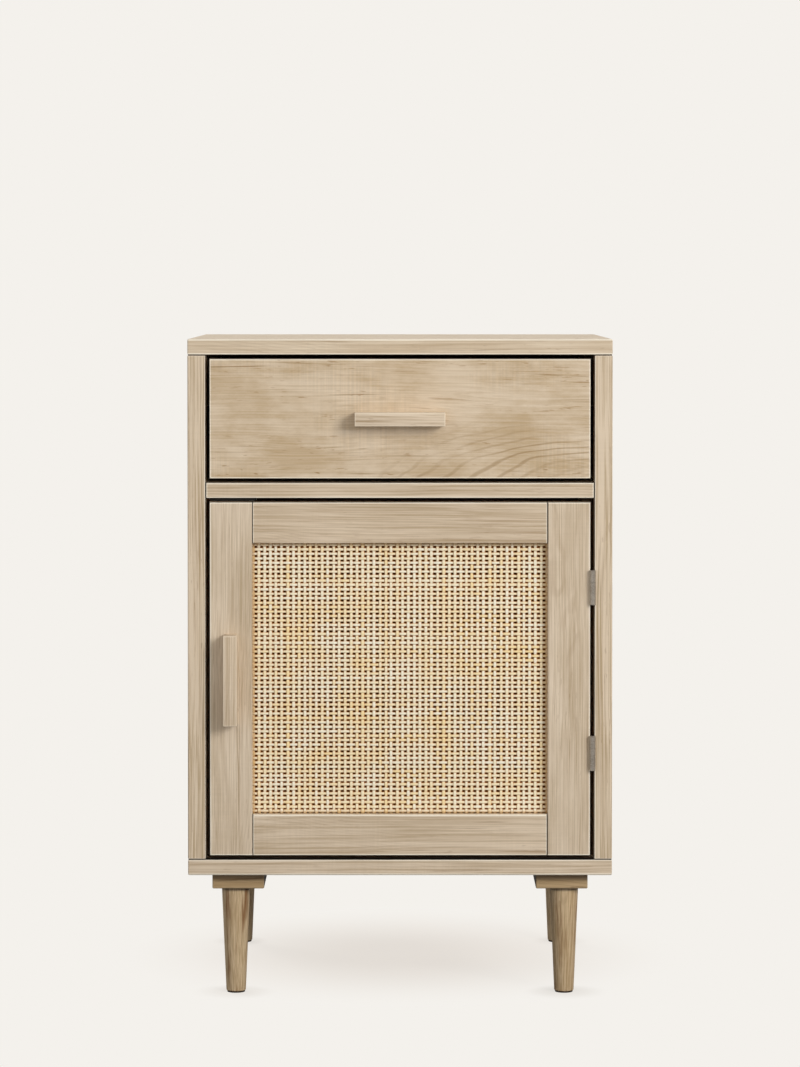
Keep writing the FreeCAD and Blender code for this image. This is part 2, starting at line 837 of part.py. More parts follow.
def slide_nodes():
    """Rails, ball cages, balls and screws of the two drawer slides."""
    nodes = {}
    balls = []
    cabinet_screws = []
    drawer_screws = []
    for name, side in SIDES.items():
        outward = Vector(side, 0, 0)
        inward = Vector(-side, 0, 0)
        fixed = rail(side, 0, 1, race_height + race_outer)
        moving = rail(side, slide_thickness, -1, race_height - race_inner)
        fixed_seats = slide_screw_seats(side, slide_sheet)
        moving_seats = slide_screw_seats(side, slide_thickness - slide_sheet)
        nodes[name + "_cabinet_rail"] = fixed.cut([cabinet_rail_screw.hole(s, outward) for s in fixed_seats])
        nodes[name + "_drawer_rail"] = moving.cut([drawer_rail_screw.hole(s, inward) for s in moving_seats])
        nodes[name + "_ball_cage"] = ball_cage(side)
        cabinet_screws += [cabinet_rail_screw.solid(s, outward) for s in fixed_seats]
        drawer_screws += [drawer_rail_screw.solid(s, inward) for s in moving_seats]
        balls += [ball(centre) for centre in ball_centres(side)]
    nodes["slide_balls"] = Part.makeCompound(balls)
    nodes["cabinet_rail_screws"] = Part.makeCompound(cabinet_screws)
    nodes["drawer_rail_screws"] = Part.makeCompound(drawer_screws)
    return nodes


def drawer_nodes():
    """Front, box, dowels and pull of the drawer."""
    dowels = drawer_dowels()
    groove = drawer_bottom_block(fit_clearance)
    cuts = [dowel.hole() for dowel in dowels] + [groove]
    box_zs = (z_box_low, z_box_high)
    pull_middle = Vector(0, y_front, (z_drawer_low + z_drawer_high) / 2)
    screw_seats = [
        Vector(pull_middle.x, y_box_front, pull_middle.z) + offset
        for offset in pull_screw_offsets(Vector(1, 0, 0))
    ]
    pull_holes = [drawer_pull_screw.hole(seat, FORWARD) for seat in screw_seats]

    front = block((-front_half, front_half), (y_front, y_box_front), (z_drawer_low, z_drawer_high))
    front = eased(front, ("y", y_front))
    back_ys = (y_box_back - drawer_board_thickness, y_box_back)
    back = block((-box_inner_half, box_inner_half), back_ys, box_zs)
    bar = pull(pull_middle, Vector(pull_length, pull_projection, pull_width))
    nodes = {
        "drawer_front": front.cut(cuts + pull_holes),
        "drawer_back": back.cut(cuts),
        "drawer_bottom": drawer_bottom_block(0),
        "drawer_dowels": Part.makeCompound([dowel.solid() for dowel in dowels]),
        "drawer_pull": bar.cut(pull_holes),
        "drawer_pull_screws": Part.makeCompound([drawer_pull_screw.solid(s, FORWARD) for s in screw_seats]),
    }
    for name, side in SIDES.items():
        board = block((side * box_inner_half, side * box_half), (y_box_front, y_box_back), box_zs)
        seats = slide_screw_seats(side, slide_thickness - slide_sheet)
        holes = [drawer_rail_screw.hole(seat, Vector(-side, 0, 0)) for seat in seats]
        nodes["drawer_" + name + "_side"] = board.cut(cuts + holes)
    return nodes


def door_nodes():
    """Frame, cane, beads and pull of the door."""
    seat = cane_seat_cut()
    door_ys = (y_front, y_door_back)
    rails = {"top": (z_open_high, z_door_high), "bottom": (z_door_low, z_open_low)}
    pull_middle = Vector(-x_stile_middle, y_front, z_door_middle)
    screw_seats = [
        Vector(pull_middle.x, y_door_back, pull_middle.z) + offset for offset in pull_screw_offsets(UP)
    ]
    pull_holes = [door_pull_screw.hole(place, FORWARD) for place in screw_seats]
    uprights, crosses = cane_layers()
    bar = pull(pull_middle, Vector(pull_width, pull_projection, pull_length))
    nodes = {
        "cane_uprights": uprights,
        "cane_crosses": crosses,
        "cane_beads": cane_beads(),
        "door_pull": bar.cut(pull_holes),
        "door_pull_screws": Part.makeCompound([door_pull_screw.solid(s, FORWARD) for s in screw_seats]),
    }
    for name, (low, high) in rails.items():
        bar = block((-open_half, open_half), door_ys, (low, high))
        bar = eased(bar, ("y", y_front))
        tenons = [tenon(side, name, 0) for side in SIDES.values()]
        nodes["door_" + name + "_rail"] = bar.fuse(tenons).cut(seat).removeSplitter()
    for name, side in SIDES.items():
        bar = block((side * open_half, side * front_half), door_ys, (z_door_low, z_door_high))
        bar = eased(bar, ("y", y_front))
        cuts = [seat] + [tenon(side, level, fit_clearance) for level in rails]
        if name == "right":
            cuts += [hinge_screw.hole(place, way) for place, way in all_hinge_screw_seats("door")]
        else:
            cuts += pull_holes + [strike_spigot(fit_clearance)]
        nodes["door_" + name + "_stile"] = bar.cut(cuts)
    return nodes


def hinge_nodes():
    """Leaves, pins and screws of the two butt hinges."""
    nodes = {}
    for name, z in HINGE_LEVELS.items():
        for owner in ("cabinet", "door"):
            nodes[name + "_hinge_" + owner + "_leaf"] = hinge_leaf(z, owner)
        nodes[name + "_hinge_pin"] = hinge_pin(z)
    for owner in ("cabinet", "door"):
        screws = [hinge_screw.solid(seat, way) for seat, way in all_hinge_screw_seats(owner)]
        nodes["hinge_" + owner + "_screws"] = Part.makeCompound(screws)
    return nodes


def strike_spigot(extra):
    """Peg that holds the strike plate in the stile, or its hole with extra room."""
    seat = Vector(x_catch, y_door_back, z_magnet)
    radius = strike_spigot_diameter / 2 + extra
    return peg(radius, seat, seat + FORWARD * (strike_spigot_length + extra))


def catch_nodes():
    """Housing, magnet, screws and strike plate of the door's magnetic catch."""
    ys = (y_catch, y_catch + catch_depth)
    body = block(around(x_catch, catch_width), ys, (z_catch_low, z_divider_under))
    flange_zs = (z_divider_under - catch_flange_thickness, z_divider_under)
    flange = block(around(x_catch, catch_flange_width), ys, flange_zs)
    pocket_size = (magnet_width + 2 * fit_clearance, magnet_height + 2 * fit_clearance)
    pocket_ys = (y_catch - overrun, y_magnet + magnet_depth)
    pocket = block(around(x_catch, pocket_size[0]), pocket_ys, around(z_magnet, pocket_size[1]))
    holes = [catch_screw.hole(seat, UP) for seat in catch_screw_seats()]
    magnet_ys = (y_magnet, y_magnet + magnet_depth)
    plate_ys = (y_door_back, y_strike_back)
    plate = block(around(x_catch, strike_width), plate_ys, around(z_magnet, strike_height))
    return {
        "catch_housing": body.fuse(flange).removeSplitter().cut([pocket] + holes),
        "catch_magnet": block(around(x_catch, magnet_width), magnet_ys, around(z_magnet, magnet_height)),
        "catch_screws": Part.makeCompound([catch_screw.solid(seat, UP) for seat in catch_screw_seats()]),
        "catch_strike_plate": plate.fuse(strike_spigot(0)).removeSplitter(),
    }


def main():
    """Builds every piece and writes each to its own file."""
    os.makedirs("parts", exist_ok=True)
    groups = (
        cabinet_boards, cabinet_fasteners, base_nodes, slide_nodes,
        drawer_nodes, door_nodes, hinge_nodes, catch_nodes,
    )
    for group in groups:
        for name, shape in group().items():
            shape.exportStep(os.path.join("parts", name + ".step"))


main()
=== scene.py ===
"""Dresses the nightstand: its boards, turned legs, woven cane door, slides, hinges and studio."""

from __future__ import annotations

import logging
import math
from dataclasses import dataclass, field, replace
from enum import Enum
from typing import Any, Iterable, Sequence

import bmesh
import bpy
from mathutils import Matrix, Vector


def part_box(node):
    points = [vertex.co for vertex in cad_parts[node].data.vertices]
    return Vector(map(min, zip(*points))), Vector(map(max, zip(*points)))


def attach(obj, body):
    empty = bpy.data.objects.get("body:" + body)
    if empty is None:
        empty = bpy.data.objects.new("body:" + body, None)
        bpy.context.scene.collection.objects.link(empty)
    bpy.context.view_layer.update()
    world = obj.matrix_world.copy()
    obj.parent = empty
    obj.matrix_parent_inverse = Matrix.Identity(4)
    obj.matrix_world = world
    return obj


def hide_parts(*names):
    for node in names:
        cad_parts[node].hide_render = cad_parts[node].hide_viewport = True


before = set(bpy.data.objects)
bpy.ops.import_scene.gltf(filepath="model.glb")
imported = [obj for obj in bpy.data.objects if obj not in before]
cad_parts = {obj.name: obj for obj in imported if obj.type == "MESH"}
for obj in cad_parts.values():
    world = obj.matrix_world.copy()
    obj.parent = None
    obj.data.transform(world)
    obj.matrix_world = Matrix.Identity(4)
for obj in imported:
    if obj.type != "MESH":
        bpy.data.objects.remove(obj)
LOG = logging.getLogger("nightstand")
MERGE_DISTANCE = 0.00001
QUARTER_TURN = math.pi / 2
X, Y, Z = range(3)

Colour = tuple[float, float, float, float]
Triple = tuple[float, float, float]
Span = tuple[float, float]
Profile = list[tuple[float, float]]
Box = tuple[Vector, Vector]

BOARD_STEP: Triple = (0.731, 0.173, 0.117)
TRUNK_SIZE: Triple = (3.0, 0.4, 0.3)
BROAD: Span = (0.3, 0.7)
CENTRAL: Span = (0.35, 0.65)


def srgb(red: int, green: int, blue: int) -> Colour:
    """Gives the linear colour of a screen colour.

    Args:
        red: Red from 0 to 255.
        green: Green from 0 to 255.
        blue: Blue from 0 to 255.

    Returns:
        The three linear values from 0 to 1, and full alpha.
    """
    def linear(value: int) -> float:
        """Undoes the screen curve of one channel."""
        share = value / 255
        return share / 12.92 if share <= 0.04045 else ((share + 0.055) / 1.055) ** 2.4

    return linear(red), linear(green), linear(blue), 1.0


class Wire:
    """A number, vector or colour that runs through a node tree, so that sums are written as sums."""

    def __init__(self, graph: Graph, socket: bpy.types.NodeSocket) -> None:
        """Takes hold of a node's output."""
        self.graph = graph
        self.socket = socket

    def __add__(self, other: Any) -> Wire:
        """Adds a number or wire."""
        return self.graph.math("ADD", self, other)

    def __sub__(self, other: Any) -> Wire:
        """Takes a number or wire away."""
        return self.graph.math("SUBTRACT", self, other)

    def __rsub__(self, other: float) -> Wire:
        """Takes this away from a number."""
        return self.graph.math("SUBTRACT", other, self)

    def __mul__(self, other: Any) -> Wire:
        """Multiplies by a number or wire."""
        return self.graph.math("MULTIPLY", self, other)

    def __truediv__(self, other: Any) -> Wire:
        """Divides by a number or wire."""
        return self.graph.math("DIVIDE", self, other)

    def __abs__(self) -> Wire:
        """Drops the sign."""
        return self.graph.math("ABSOLUTE", self)

    def lower(self, other: Any) -> Wire:
        """Gives the lower of two numbers."""
        return self.graph.math("MINIMUM", self, other)

    def higher(self, other: Any) -> Wire:
        """Gives the higher of two numbers."""
        return self.graph.math("MAXIMUM", self, other)

    def ranged(self, low: float, high: float, start: float = 0.0, end: float = 1.0) -> Wire:
        """Maps the range from low to high smoothly to start to end, held at its ends."""
        inputs = {0: self, 1: low, 2: high, 3: start, 4: end}
        return self.graph.wire("ShaderNodeMapRange", inputs, interpolation_type="SMOOTHSTEP")


class Graph:
    """A node tree under construction, for a surface, the world or geometry."""

    def __init__(self, tree: bpy.types.NodeTree) -> None:
        """Takes hold of an empty node tree."""
        self.tree = tree

    def feed(self, node: bpy.types.Node, inputs: dict[Any, Any]) -> None:
        """Feeds a node's inputs.

        Args:
            node: The node.
            inputs: Input name or number to a value, or to the wire that feeds it.
        """
        for name, value in inputs.items():
            if isinstance(value, Wire):
                self.tree.links.new(value.socket, node.inputs[name])
            else:
                node.inputs[name].default_value = value

    def add(self, kind: str, inputs: dict[Any, Any] | None = None, **settings: Any) -> bpy.types.Node:
        """Adds a node, sets it up and feeds its inputs.

        Args:
            kind: The node's type name.
            inputs: Input name or number to a value, or to the wire that feeds it.
            **settings: The node's own properties.

        Returns:
            The new node.
        """
        node = self.tree.nodes.new(kind)
        for name, value in settings.items():
            setattr(node, name, value)
        self.feed(node, inputs or {})
        return node

    def wire(
        self, kind: str, inputs: dict[Any, Any] | None = None, output: int | str = 0, **settings: Any
    ) -> Wire:
        """Adds a node and takes hold of one of its outputs, by its number or name."""
        return Wire(self, self.add(kind, inputs, **settings).outputs[output])

    def math(self, operation: str, first: Any, second: Any = 0.0) -> Wire:
        """Adds a sum on two numbers or wires."""
        return self.wire("ShaderNodeMath", {0: first, 1: second}, operation=operation)

    def split(self, vector: Wire) -> list[Wire]:
        """Splits a vector into its three axes."""
        return [Wire(self, axis) for axis in self.add("ShaderNodeSeparateXYZ", {0: vector}).outputs]

    def join(self, x: Any = 0.0, y: Any = 0.0, z: Any = 0.0) -> Wire:
        """Joins three numbers or wires to a vector."""
        return self.wire("ShaderNodeCombineXYZ", {0: x, 1: y, 2: z})

    def noise(self, place: Wire, scale: Triple, detail: float = 2.0, rough: float = 0.5) -> Wire:
        """Adds noise, about 0.5 on the average.

        Args:
            place: The coordinates.
            scale: Waves per metre on each axis.
            detail: Octaves of finer noise.
            rough: Strength of the finer octaves.

        Returns:
            The noise.
        """
        mapped = self.wire("ShaderNodeVectorMath", {0: place, 1: scale}, operation="MULTIPLY")
        inputs = {"Vector": mapped, "Scale": 1.0, "Detail": detail, "Roughness": rough}
        return self.wire("ShaderNodeTexNoise", inputs)

    def tint(self, share: Wire, first: Any, second: Any) -> Wire:
        """Mixes two colours or wires, with a share of the second."""
        return self.wire("ShaderNodeMix", {0: share, 6: first, 7: second}, 2, data_type="RGBA")


class Surface(Graph):
    """A material's node tree."""

    def __init__(self, name: str) -> None:
        """Starts a material with an open output."""
        self.material = bpy.data.materials.new(name)
        self.material.use_nodes = True
        super().__init__(self.material.node_tree)
        self.tree.nodes.clear()
        self.output = self.add("ShaderNodeOutputMaterial")
        self.place = self.wire("ShaderNodeTexCoord", output="Object")
        self.axes = self.split(self.place)

    def inside(self, axis: int, box: Box) -> Wire:
        """Measures how far a point lies inside a box along one axis."""
        low, high = box[0][axis], box[1][axis]
        return (high - low) / 2 - abs(self.axes[axis] - (low + high) / 2)

    def finish(
        self, colour: Wire, roughness: Wire, height: Wire, depth: float, metallic: float = 0.0
    ) -> bpy.types.Material:
        """Ends the tree with a shader.

        Args:
            colour: The base colour.
            roughness: The roughness.
            height: The height of the bump.
            depth: Depth of the bump in metres.
            metallic: 1 for metal.

        Returns:
            The finished material.
        """
        bump = self.wire("ShaderNodeBump", {"Height": height, "Strength": 1.0, "Distance": depth})
        inputs = {"Base Color": colour, "Roughness": roughness, "Metallic": metallic, "Normal": bump}
        self.feed(self.output, {"Surface": self.wire("ShaderNodeBsdfPrincipled", inputs)})
        return self.material


class Grain(Enum):
    """Direction that the fibres of a piece run in, with the turn that lays it along the pattern's X."""

    ACROSS = (0.0, 0.0, 0.0)
    DEEP = (0.0, 0.0, -QUARTER_TURN)
    UPRIGHT = (0.0, QUARTER_TURN, 0.0)

    def lay(self, surface: Surface, seed: int) -> Wire:
        """Turns a surface's coordinates so that X runs along the fibres, and moves them to their own board."""
        inputs = {"Vector": surface.place, "Rotation": self.value, "Location": self.shift(seed)}
        return surface.wire("ShaderNodeMapping", inputs)

    @staticmethod
    def shift(seed: int) -> tuple[float, ...]:
        """Gives the place of a board in the trunk that it is cut from."""
        return tuple(step * seed % size for step, size in zip(BOARD_STEP, TRUNK_SIZE))


@dataclass(frozen=True)
class Layer:
    """Noise stretched along the fibres, in waves per metre, with the range of it that is read."""

    along: float
    across: float
    low: float = 0.0
    high: float = 1.0
    detail: float = 2.0
    rough: float = 0.5

    def noise(self, surface: Surface, place: Wire) -> Wire:
        """Adds the noise as it is."""
        return surface.noise(place, (self.along, self.across, self.across), self.detail, self.rough)

    def read(self, surface: Surface, place: Wire, start: float = 0.0, end: float = 1.0) -> Wire:
        """Adds the noise and maps its range to start to end."""
        return self.noise(surface, place).ranged(self.low, self.high, start, end)


@dataclass(frozen=True)
class Seam:
    """Dark line where the end of a board butts against its neighbour; at the tops of the legs and runners it is
    painted shade under the part above.
    """

    axis: int
    place: float
    width: float = 0.0013
    share: float = 0.96


@dataclass(frozen=True)
class Reveal:
    """Open gap beside a board, whose edge is painted near-black at its front: painted shade in the gap."""

    axis: int
    place: float
    front: float
    width: float = 0.00065
    depth: float = 0.002
    share: float = 0.995


@dataclass(frozen=True)
class Shade:
    """Side of a board under the cabinet, painted dark behind its front: painted shade."""

    axis: int
    place: float
    front: float
    width: float = 0.001
    depth: float = 0.0015
    share: float = 0.9


Dark = Seam | Reveal | Shade


@dataclass(frozen=True)
class Heart:
    """Place where the heart of the trunk comes near a face, and how steeply it dips, which makes arcs."""

    along: float
    across: float
    dip: float
    reach: float
    fade: float = 0.6
    least: float = 0.3


@dataclass(frozen=True)
class WoodFinish:
    """Sawn wood: fine lines along the fibres, patches, growth rings, brown streaks and a cross ripple."""

    name: str
    light: Colour
    middle: Colour
    dark: Colour
    streak: Colour
    sway: Layer = Layer(2.6, 8.0)
    wander: float = 0.006
    patch: Layer = Layer(5.0, 24.0, 0.34, 0.66, 8.0, 0.64)
    patch_share: float = 0.45
    line: Layer = Layer(5.0, 640.0, 0.36, 0.66, 4.0, 0.6)
    line_share: float = 0.55
    front_lines: float = 0.0
    front_depth: Span = (0.001, 0.004)
    some: Layer = Layer(4.0, 45.0, 0.4, 0.66, 3.0)
    thin: Layer = Layer(7.0, 520.0, 0.57, 0.72, 3.0)
    dark_line_share: float = 0.5
    vein: Layer = Layer(11.0, 240.0, 0.64, 0.76, 4.0)
    streak_share: float = 0.35
    fleck: Layer = Layer(70.0, 420.0, 0.63, 0.72)
    fleck_share: float = 0.3
    curl: Layer = Layer(480.0, 14.0, 0.34, 0.66)
    zone: Layer = Layer(9.0, 13.0, 0.44, 0.62)
    ripple: float = 0.012
    hair: Layer = Layer(40.0, 2600.0, *BROAD)
    hair_levels: Span = (1.025, 0.975)
    hair_height: float = 0.7
    ring_zone: Layer = Layer(5.0, 22.0, 0.42, 0.62)
    ring_spacing: float = 0.0031
    ring_share: float = 0.16
    ring_narrow: float = 0.3
    ring_slants: tuple[float, ...] = (0.05, 0.07, 0.09, 0.11)
    wobble: Layer = Layer(9.0, 26.0)
    wobble_size: float = 0.016
    heart: Heart | None = None
    roughness: float = 0.56
    smoother: float = 0.05
    rougher: float = 0.08
    bump: float = 0.00004
    # Colour of the dark joints, and of the painted shade at the tops of the legs and runners.
    seam_and_shade_colour: Colour = srgb(36, 26, 16)
    # Near-black colour of the painted shade beside gaps and under the cabinet.
    painted_shade_colour: Colour = srgb(11, 7, 4)
    # Pale colour of the edges: wear, and a painted highlight along the arrises.
    edge_colour: Colour = srgb(255, 246, 228)
    edge_width: float = 0.002
    edge_core: float = 0.6
    wear_and_highlight_depth: Span = (0.003, 0.012)
    wear_and_highlight_shares: Span = (0.88, 0.36)
    wear_and_highlight_on_lines: float = 0.7

    def bent(self, surface: Surface, place: Wire) -> Wire:
        """Bends the straight fibres a little."""
        shift = (self.sway.noise(surface, place) - 0.5) * (2.0 * self.wander)
        return surface.wire(
            "ShaderNodeVectorMath", {0: place, 1: surface.join(y=shift, z=shift)}, operation="ADD"
        )

    def rings(self, surface: Surface, bent: Wire, seed: int) -> Wire:
        """Cuts the growth rings of a trunk that lies aslant under the face.

        Args:
            surface: The material under construction.
            bent: The bent coordinates.
            seed: Number of the board.

        Returns:
            What is high on the dark late wood.
        """
        axes = surface.split(bent)
        wobble = (self.wobble.noise(surface, bent) - 0.5) * self.wobble_size
        some = self.ring_zone.read(surface, bent)
        if self.heart:
            start = Grain.shift(seed)
            first = (axes[X] - (self.heart.along + start[X])) * self.heart.dip
            second = axes[Z] - (self.heart.across + start[Z])
        else:
            first = axes[Z] + axes[X] * self.ring_slants[seed % len(self.ring_slants)]
            second = axes[Y]
        radius = surface.math("SQRT", first * first + second * second)
        wave = surface.math("SINE", (radius + wobble) * (2 * math.pi / self.ring_spacing))
        if self.heart:
            near = radius.ranged(self.heart.reach * self.heart.fade, self.heart.reach, 1.0, 0.0)
            some = near * (some * (1.0 - self.heart.least) + self.heart.least)
        return wave.ranged(self.ring_narrow, 1.0) * some

    def seamed(self, surface: Surface, colour: Wire, seams: Sequence[Dark]) -> Wire:
        """Draws the dark joints at the ends of a board and the painted shade in the gaps beside it and under it.

        Args:
            surface: The material under construction.
            colour: The wood's colour.
            seams: The joints, and the gaps and hidden sides that take painted shade.

        Returns:
            The colour with the joints.
        """
        for seam in seams:
            away = abs(surface.axes[seam.axis] - seam.place)
            near = away.ranged(seam.width / 2, seam.width, seam.share, 0.0)
            if isinstance(seam, Seam):
                colour = surface.tint(near, colour, self.seam_and_shade_colour)
                continue
            # Painted shade: near-black on the front of an edge beside a gap, or on a side behind its front under
            # the cabinet.
            ends = (1.0, 0.0) if isinstance(seam, Reveal) else (0.0, 1.0)
            there = (surface.axes[Y] - seam.front).ranged(seam.depth / 2, seam.depth, *ends)
            colour = surface.tint(near * there, colour, self.painted_shade_colour)
        return colour

    def worn_and_highlit(self, surface: Surface, colour: Wire, line: Wire, box: Box) -> Wire:
        """Lightens the edges of a board, most at its front: wear, and a painted highlight along the arrises.

        Args:
            surface: The material under construction.
            colour: The wood's colour.
            line: The fibres, which break the worn line up.
            box: Lowest and highest corner of the board.

        Returns:
            The colour with worn edges.
        """
        first, second, third = (surface.inside(axis, box) for axis in range(3))
        edge = first.lower(second).higher(first.higher(second).lower(third))
        share = edge.ranged(self.edge_width * self.edge_core, self.edge_width, 1.0, 0.0)
        near, far = (box[0][Y] + depth for depth in self.wear_and_highlight_depth)
        front = surface.axes[Y].ranged(near, far, *self.wear_and_highlight_shares)
        broken = share * line.ranged(0.0, 1.0, 1.0, self.wear_and_highlight_on_lines) * front
        return surface.tint(broken, colour, self.edge_colour)

    def material(
        self, piece: str, grain: Grain, seed: int, seams: Sequence[Dark] = (), box: Box | None = None
    ) -> bpy.types.Material:
        """Makes the material of one board.

        Args:
            piece: Name of the board.
            grain: Direction of its fibres.
            seed: Number of the board, so that no two show the same figure.
            seams: Dark joints at its ends, and painted shade beside its gaps and under it.
            box: Lowest and highest corner of the board, whose edges are lightened as wear and painted highlight.

        Returns:
            The board's material.
        """
        surface = Surface(f"{self.name}_{piece}")
        place = grain.lay(surface, seed)
        bent = self.bent(surface, place)
        line = self.line.read(surface, bent)
        some = self.some.read(surface, place)
        hair = self.hair.noise(surface, bent)

        tone = self.patch.read(surface, place) * self.patch_share + line * self.line_share
        if box and self.front_lines:
            near, far = (box[0][Y] + depth for depth in self.front_depth)
            tone = tone + (line - 0.5) * surface.axes[Y].ranged(near, far, self.front_lines, 0.0)
        colour = surface.tint(tone, self.light, self.middle)
        for share, dark_tint in (
            (self.rings(surface, bent, seed) * self.ring_share, self.dark),
            (self.thin.read(surface, bent) * some * self.dark_line_share, self.dark),
            (self.vein.read(surface, bent) * self.streak_share, self.streak),
            (self.fleck.read(surface, bent) * some * self.fleck_share, self.streak),
        ):
            colour = surface.tint(share, colour, dark_tint)
        waved = self.curl.read(surface, place, self.ripple, -self.ripple) * self.zone.read(surface, place)
        level = waved + hair.ranged(self.hair.low, self.hair.high, *self.hair_levels)
        colour = surface.wire("ShaderNodeHueSaturation", {"Value": level, "Color": colour})
        if box:
            colour = self.worn_and_highlit(surface, colour, line, box)
        colour = self.seamed(surface, colour, seams)
        rough = line.ranged(0.0, 1.0, self.roughness - self.smoother, self.roughness + self.rougher)
        return surface.finish(colour, rough, line + hair * self.hair_height, self.bump)


@dataclass(frozen=True)
class CaneFinish:
    """Split cane: glossy straw skin on the crests and tan fibres, with brown painted shade on the strands' sides
    where they dive under others, and painted shade along the rim.
    """

    light: Colour
    tan: Colour
    brown: Colour
    dark_tint: Colour
    fibre: Layer = Layer(60.0, 2600.0, 0.45, 0.8, 3.0)
    fibre_share: float = 0.45
    patch: Layer = Layer(30.0, 55.0, detail=4.0)
    patch_share: float = 0.85
    own_share: float = 0.2
    tan_range: Span = (0.3, 0.85)
    back_share: float = 0.85
    edge_range: Span = (0.4, 0.81)
    open_range: Span = (0.1, 0.8)
    crossing_share: float = 0.25
    rim: float = 0.004
    rim_share: float = 0.8
    gloss: Span = (0.38, 0.55)
    bump: float = 0.00004

    def material(self, name: str, grain: Grain, pitch: float, opening: Box) -> bpy.types.Material:
        """Makes the material of the strands of one direction.

        Args:
            name: Name of the material.
            grain: Direction of the strands.
            pitch: Distance between two strands in metres.
            opening: Lowest and highest corner of the opening, along whose rim the cane takes painted shade.

        Returns:
            The strands' material.
        """
        surface = Surface(name)
        place = grain.lay(surface, 0)
        number = surface.math("FLOOR", surface.split(place)[Z] / pitch)
        own = surface.wire("ShaderNodeTexWhiteNoise", {"W": number}, noise_dimensions="1D")
        fibre = self.fibre.noise(surface, place)
        blend = own * self.own_share + self.patch.noise(surface, place) * self.patch_share
        colour = surface.tint(blend.ranged(*self.tan_range), self.light, self.tan)
        fine = fibre.ranged(self.fibre.low, self.fibre.high) * self.fibre_share
        colour = surface.tint(fine, colour, self.tan)
        skin, between = (
            surface.wire("ShaderNodeAttribute", output="Fac", attribute_name=attribute)
            for attribute in (WovenStrands.SKIN, WovenStrands.OPEN)
        )
        # Painted shade: brown on the strands' sides and backs, weaker where they cross.
        edge = skin.higher(skin * -self.back_share).ranged(*self.edge_range, 1.0, 0.0)
        shade = edge * between.ranged(*self.open_range, self.crossing_share, 1.0)
        colour = surface.tint(shade, colour, self.brown)
        # Painted shade along the rim of the opening, under the frame.
        for axis in (X, Z):
            near = surface.inside(axis, opening).ranged(0.0, self.rim, self.rim_share, 0.0)
            colour = surface.tint(near, colour, self.dark_tint)
        return surface.finish(colour, fibre.ranged(*BROAD, *self.gloss), fibre, self.bump)


@dataclass(frozen=True)
class SteelFinish:
    """Metal with fine brush lines and a patchy lustre; the front ends of the slides are painted dark as shade in
    the drawer gap.
    """

    name: str
    bright: Colour
    dull: Colour
    roughness: float
    brush: Triple
    line_share: float = 0.6
    cloud: Layer = Layer(60.0, 60.0, detail=3.0)
    smoother: float = 0.07
    rougher: float = 0.09
    bump: float = 0.00001
    dark_end: float | None = None
    end_shade: Colour = srgb(24, 22, 20)
    end_shade_fade: float = 0.006
    end_shade_rougher: float = 0.4

    def material(self) -> bpy.types.Material:
        """Makes the metal's material."""
        surface = Surface(self.name)
        line = surface.noise(surface.place, self.brush)
        mixed = line * self.line_share + self.cloud.noise(surface, surface.place) * (1.0 - self.line_share)
        colour = surface.tint(mixed.ranged(*CENTRAL), self.bright, self.dull)
        rough = line.ranged(*BROAD, self.roughness - self.smoother, self.roughness + self.rougher)
        # Painted shade: the front end turns near-black, and rougher.
        if self.dark_end is not None:
            end = surface.axes[Y].ranged(self.dark_end, self.dark_end + self.end_shade_fade, 1.0, 0.0)
            colour = surface.tint(end, colour, self.end_shade)
            rough = rough + end * self.end_shade_rougher
        return surface.finish(colour, rough, line, self.bump, metallic=1.0)


@dataclass(frozen=True)
class GranularFinish:
    """Even stuff of fine grains: pressed fibre board, felt or moulded plastic."""

    name: str
    light: Colour
    dark: Colour
    roughness: float
    grain_size: float
    depth: float
    grit_share: float = 0.86
    cloud: Layer = Layer(18.0, 18.0, detail=3.0)
    rougher: float = 0.05
    dark_front: float | None = None
    front_shade_colour: Colour = srgb(40, 34, 28)
    front_fade: float = 0.004
    front_share: float = 0.94

    def material(self) -> bpy.types.Material:
        """Makes the material, with painted shade on its front where a dark front is given."""
        surface = Surface(self.name)
        grit = Layer(1.0 / self.grain_size, 1.0 / self.grain_size, detail=4.0).noise(surface, surface.place)
        mixed = grit * self.grit_share + self.cloud.noise(surface, surface.place) * (1.0 - self.grit_share)
        colour = surface.tint(mixed.ranged(*CENTRAL), self.light, self.dark)
        # Painted shade over the front face.
        if self.dark_front is not None:
            behind = self.dark_front + self.front_fade
            share = surface.axes[Y].ranged(self.dark_front, behind, self.front_share, 0.0)
            colour = surface.tint(share, colour, self.front_shade_colour)
        rough = grit.ranged(*BROAD, self.roughness - self.rougher, self.roughness + self.rougher)
        return surface.finish(colour, rough, grit, self.depth)


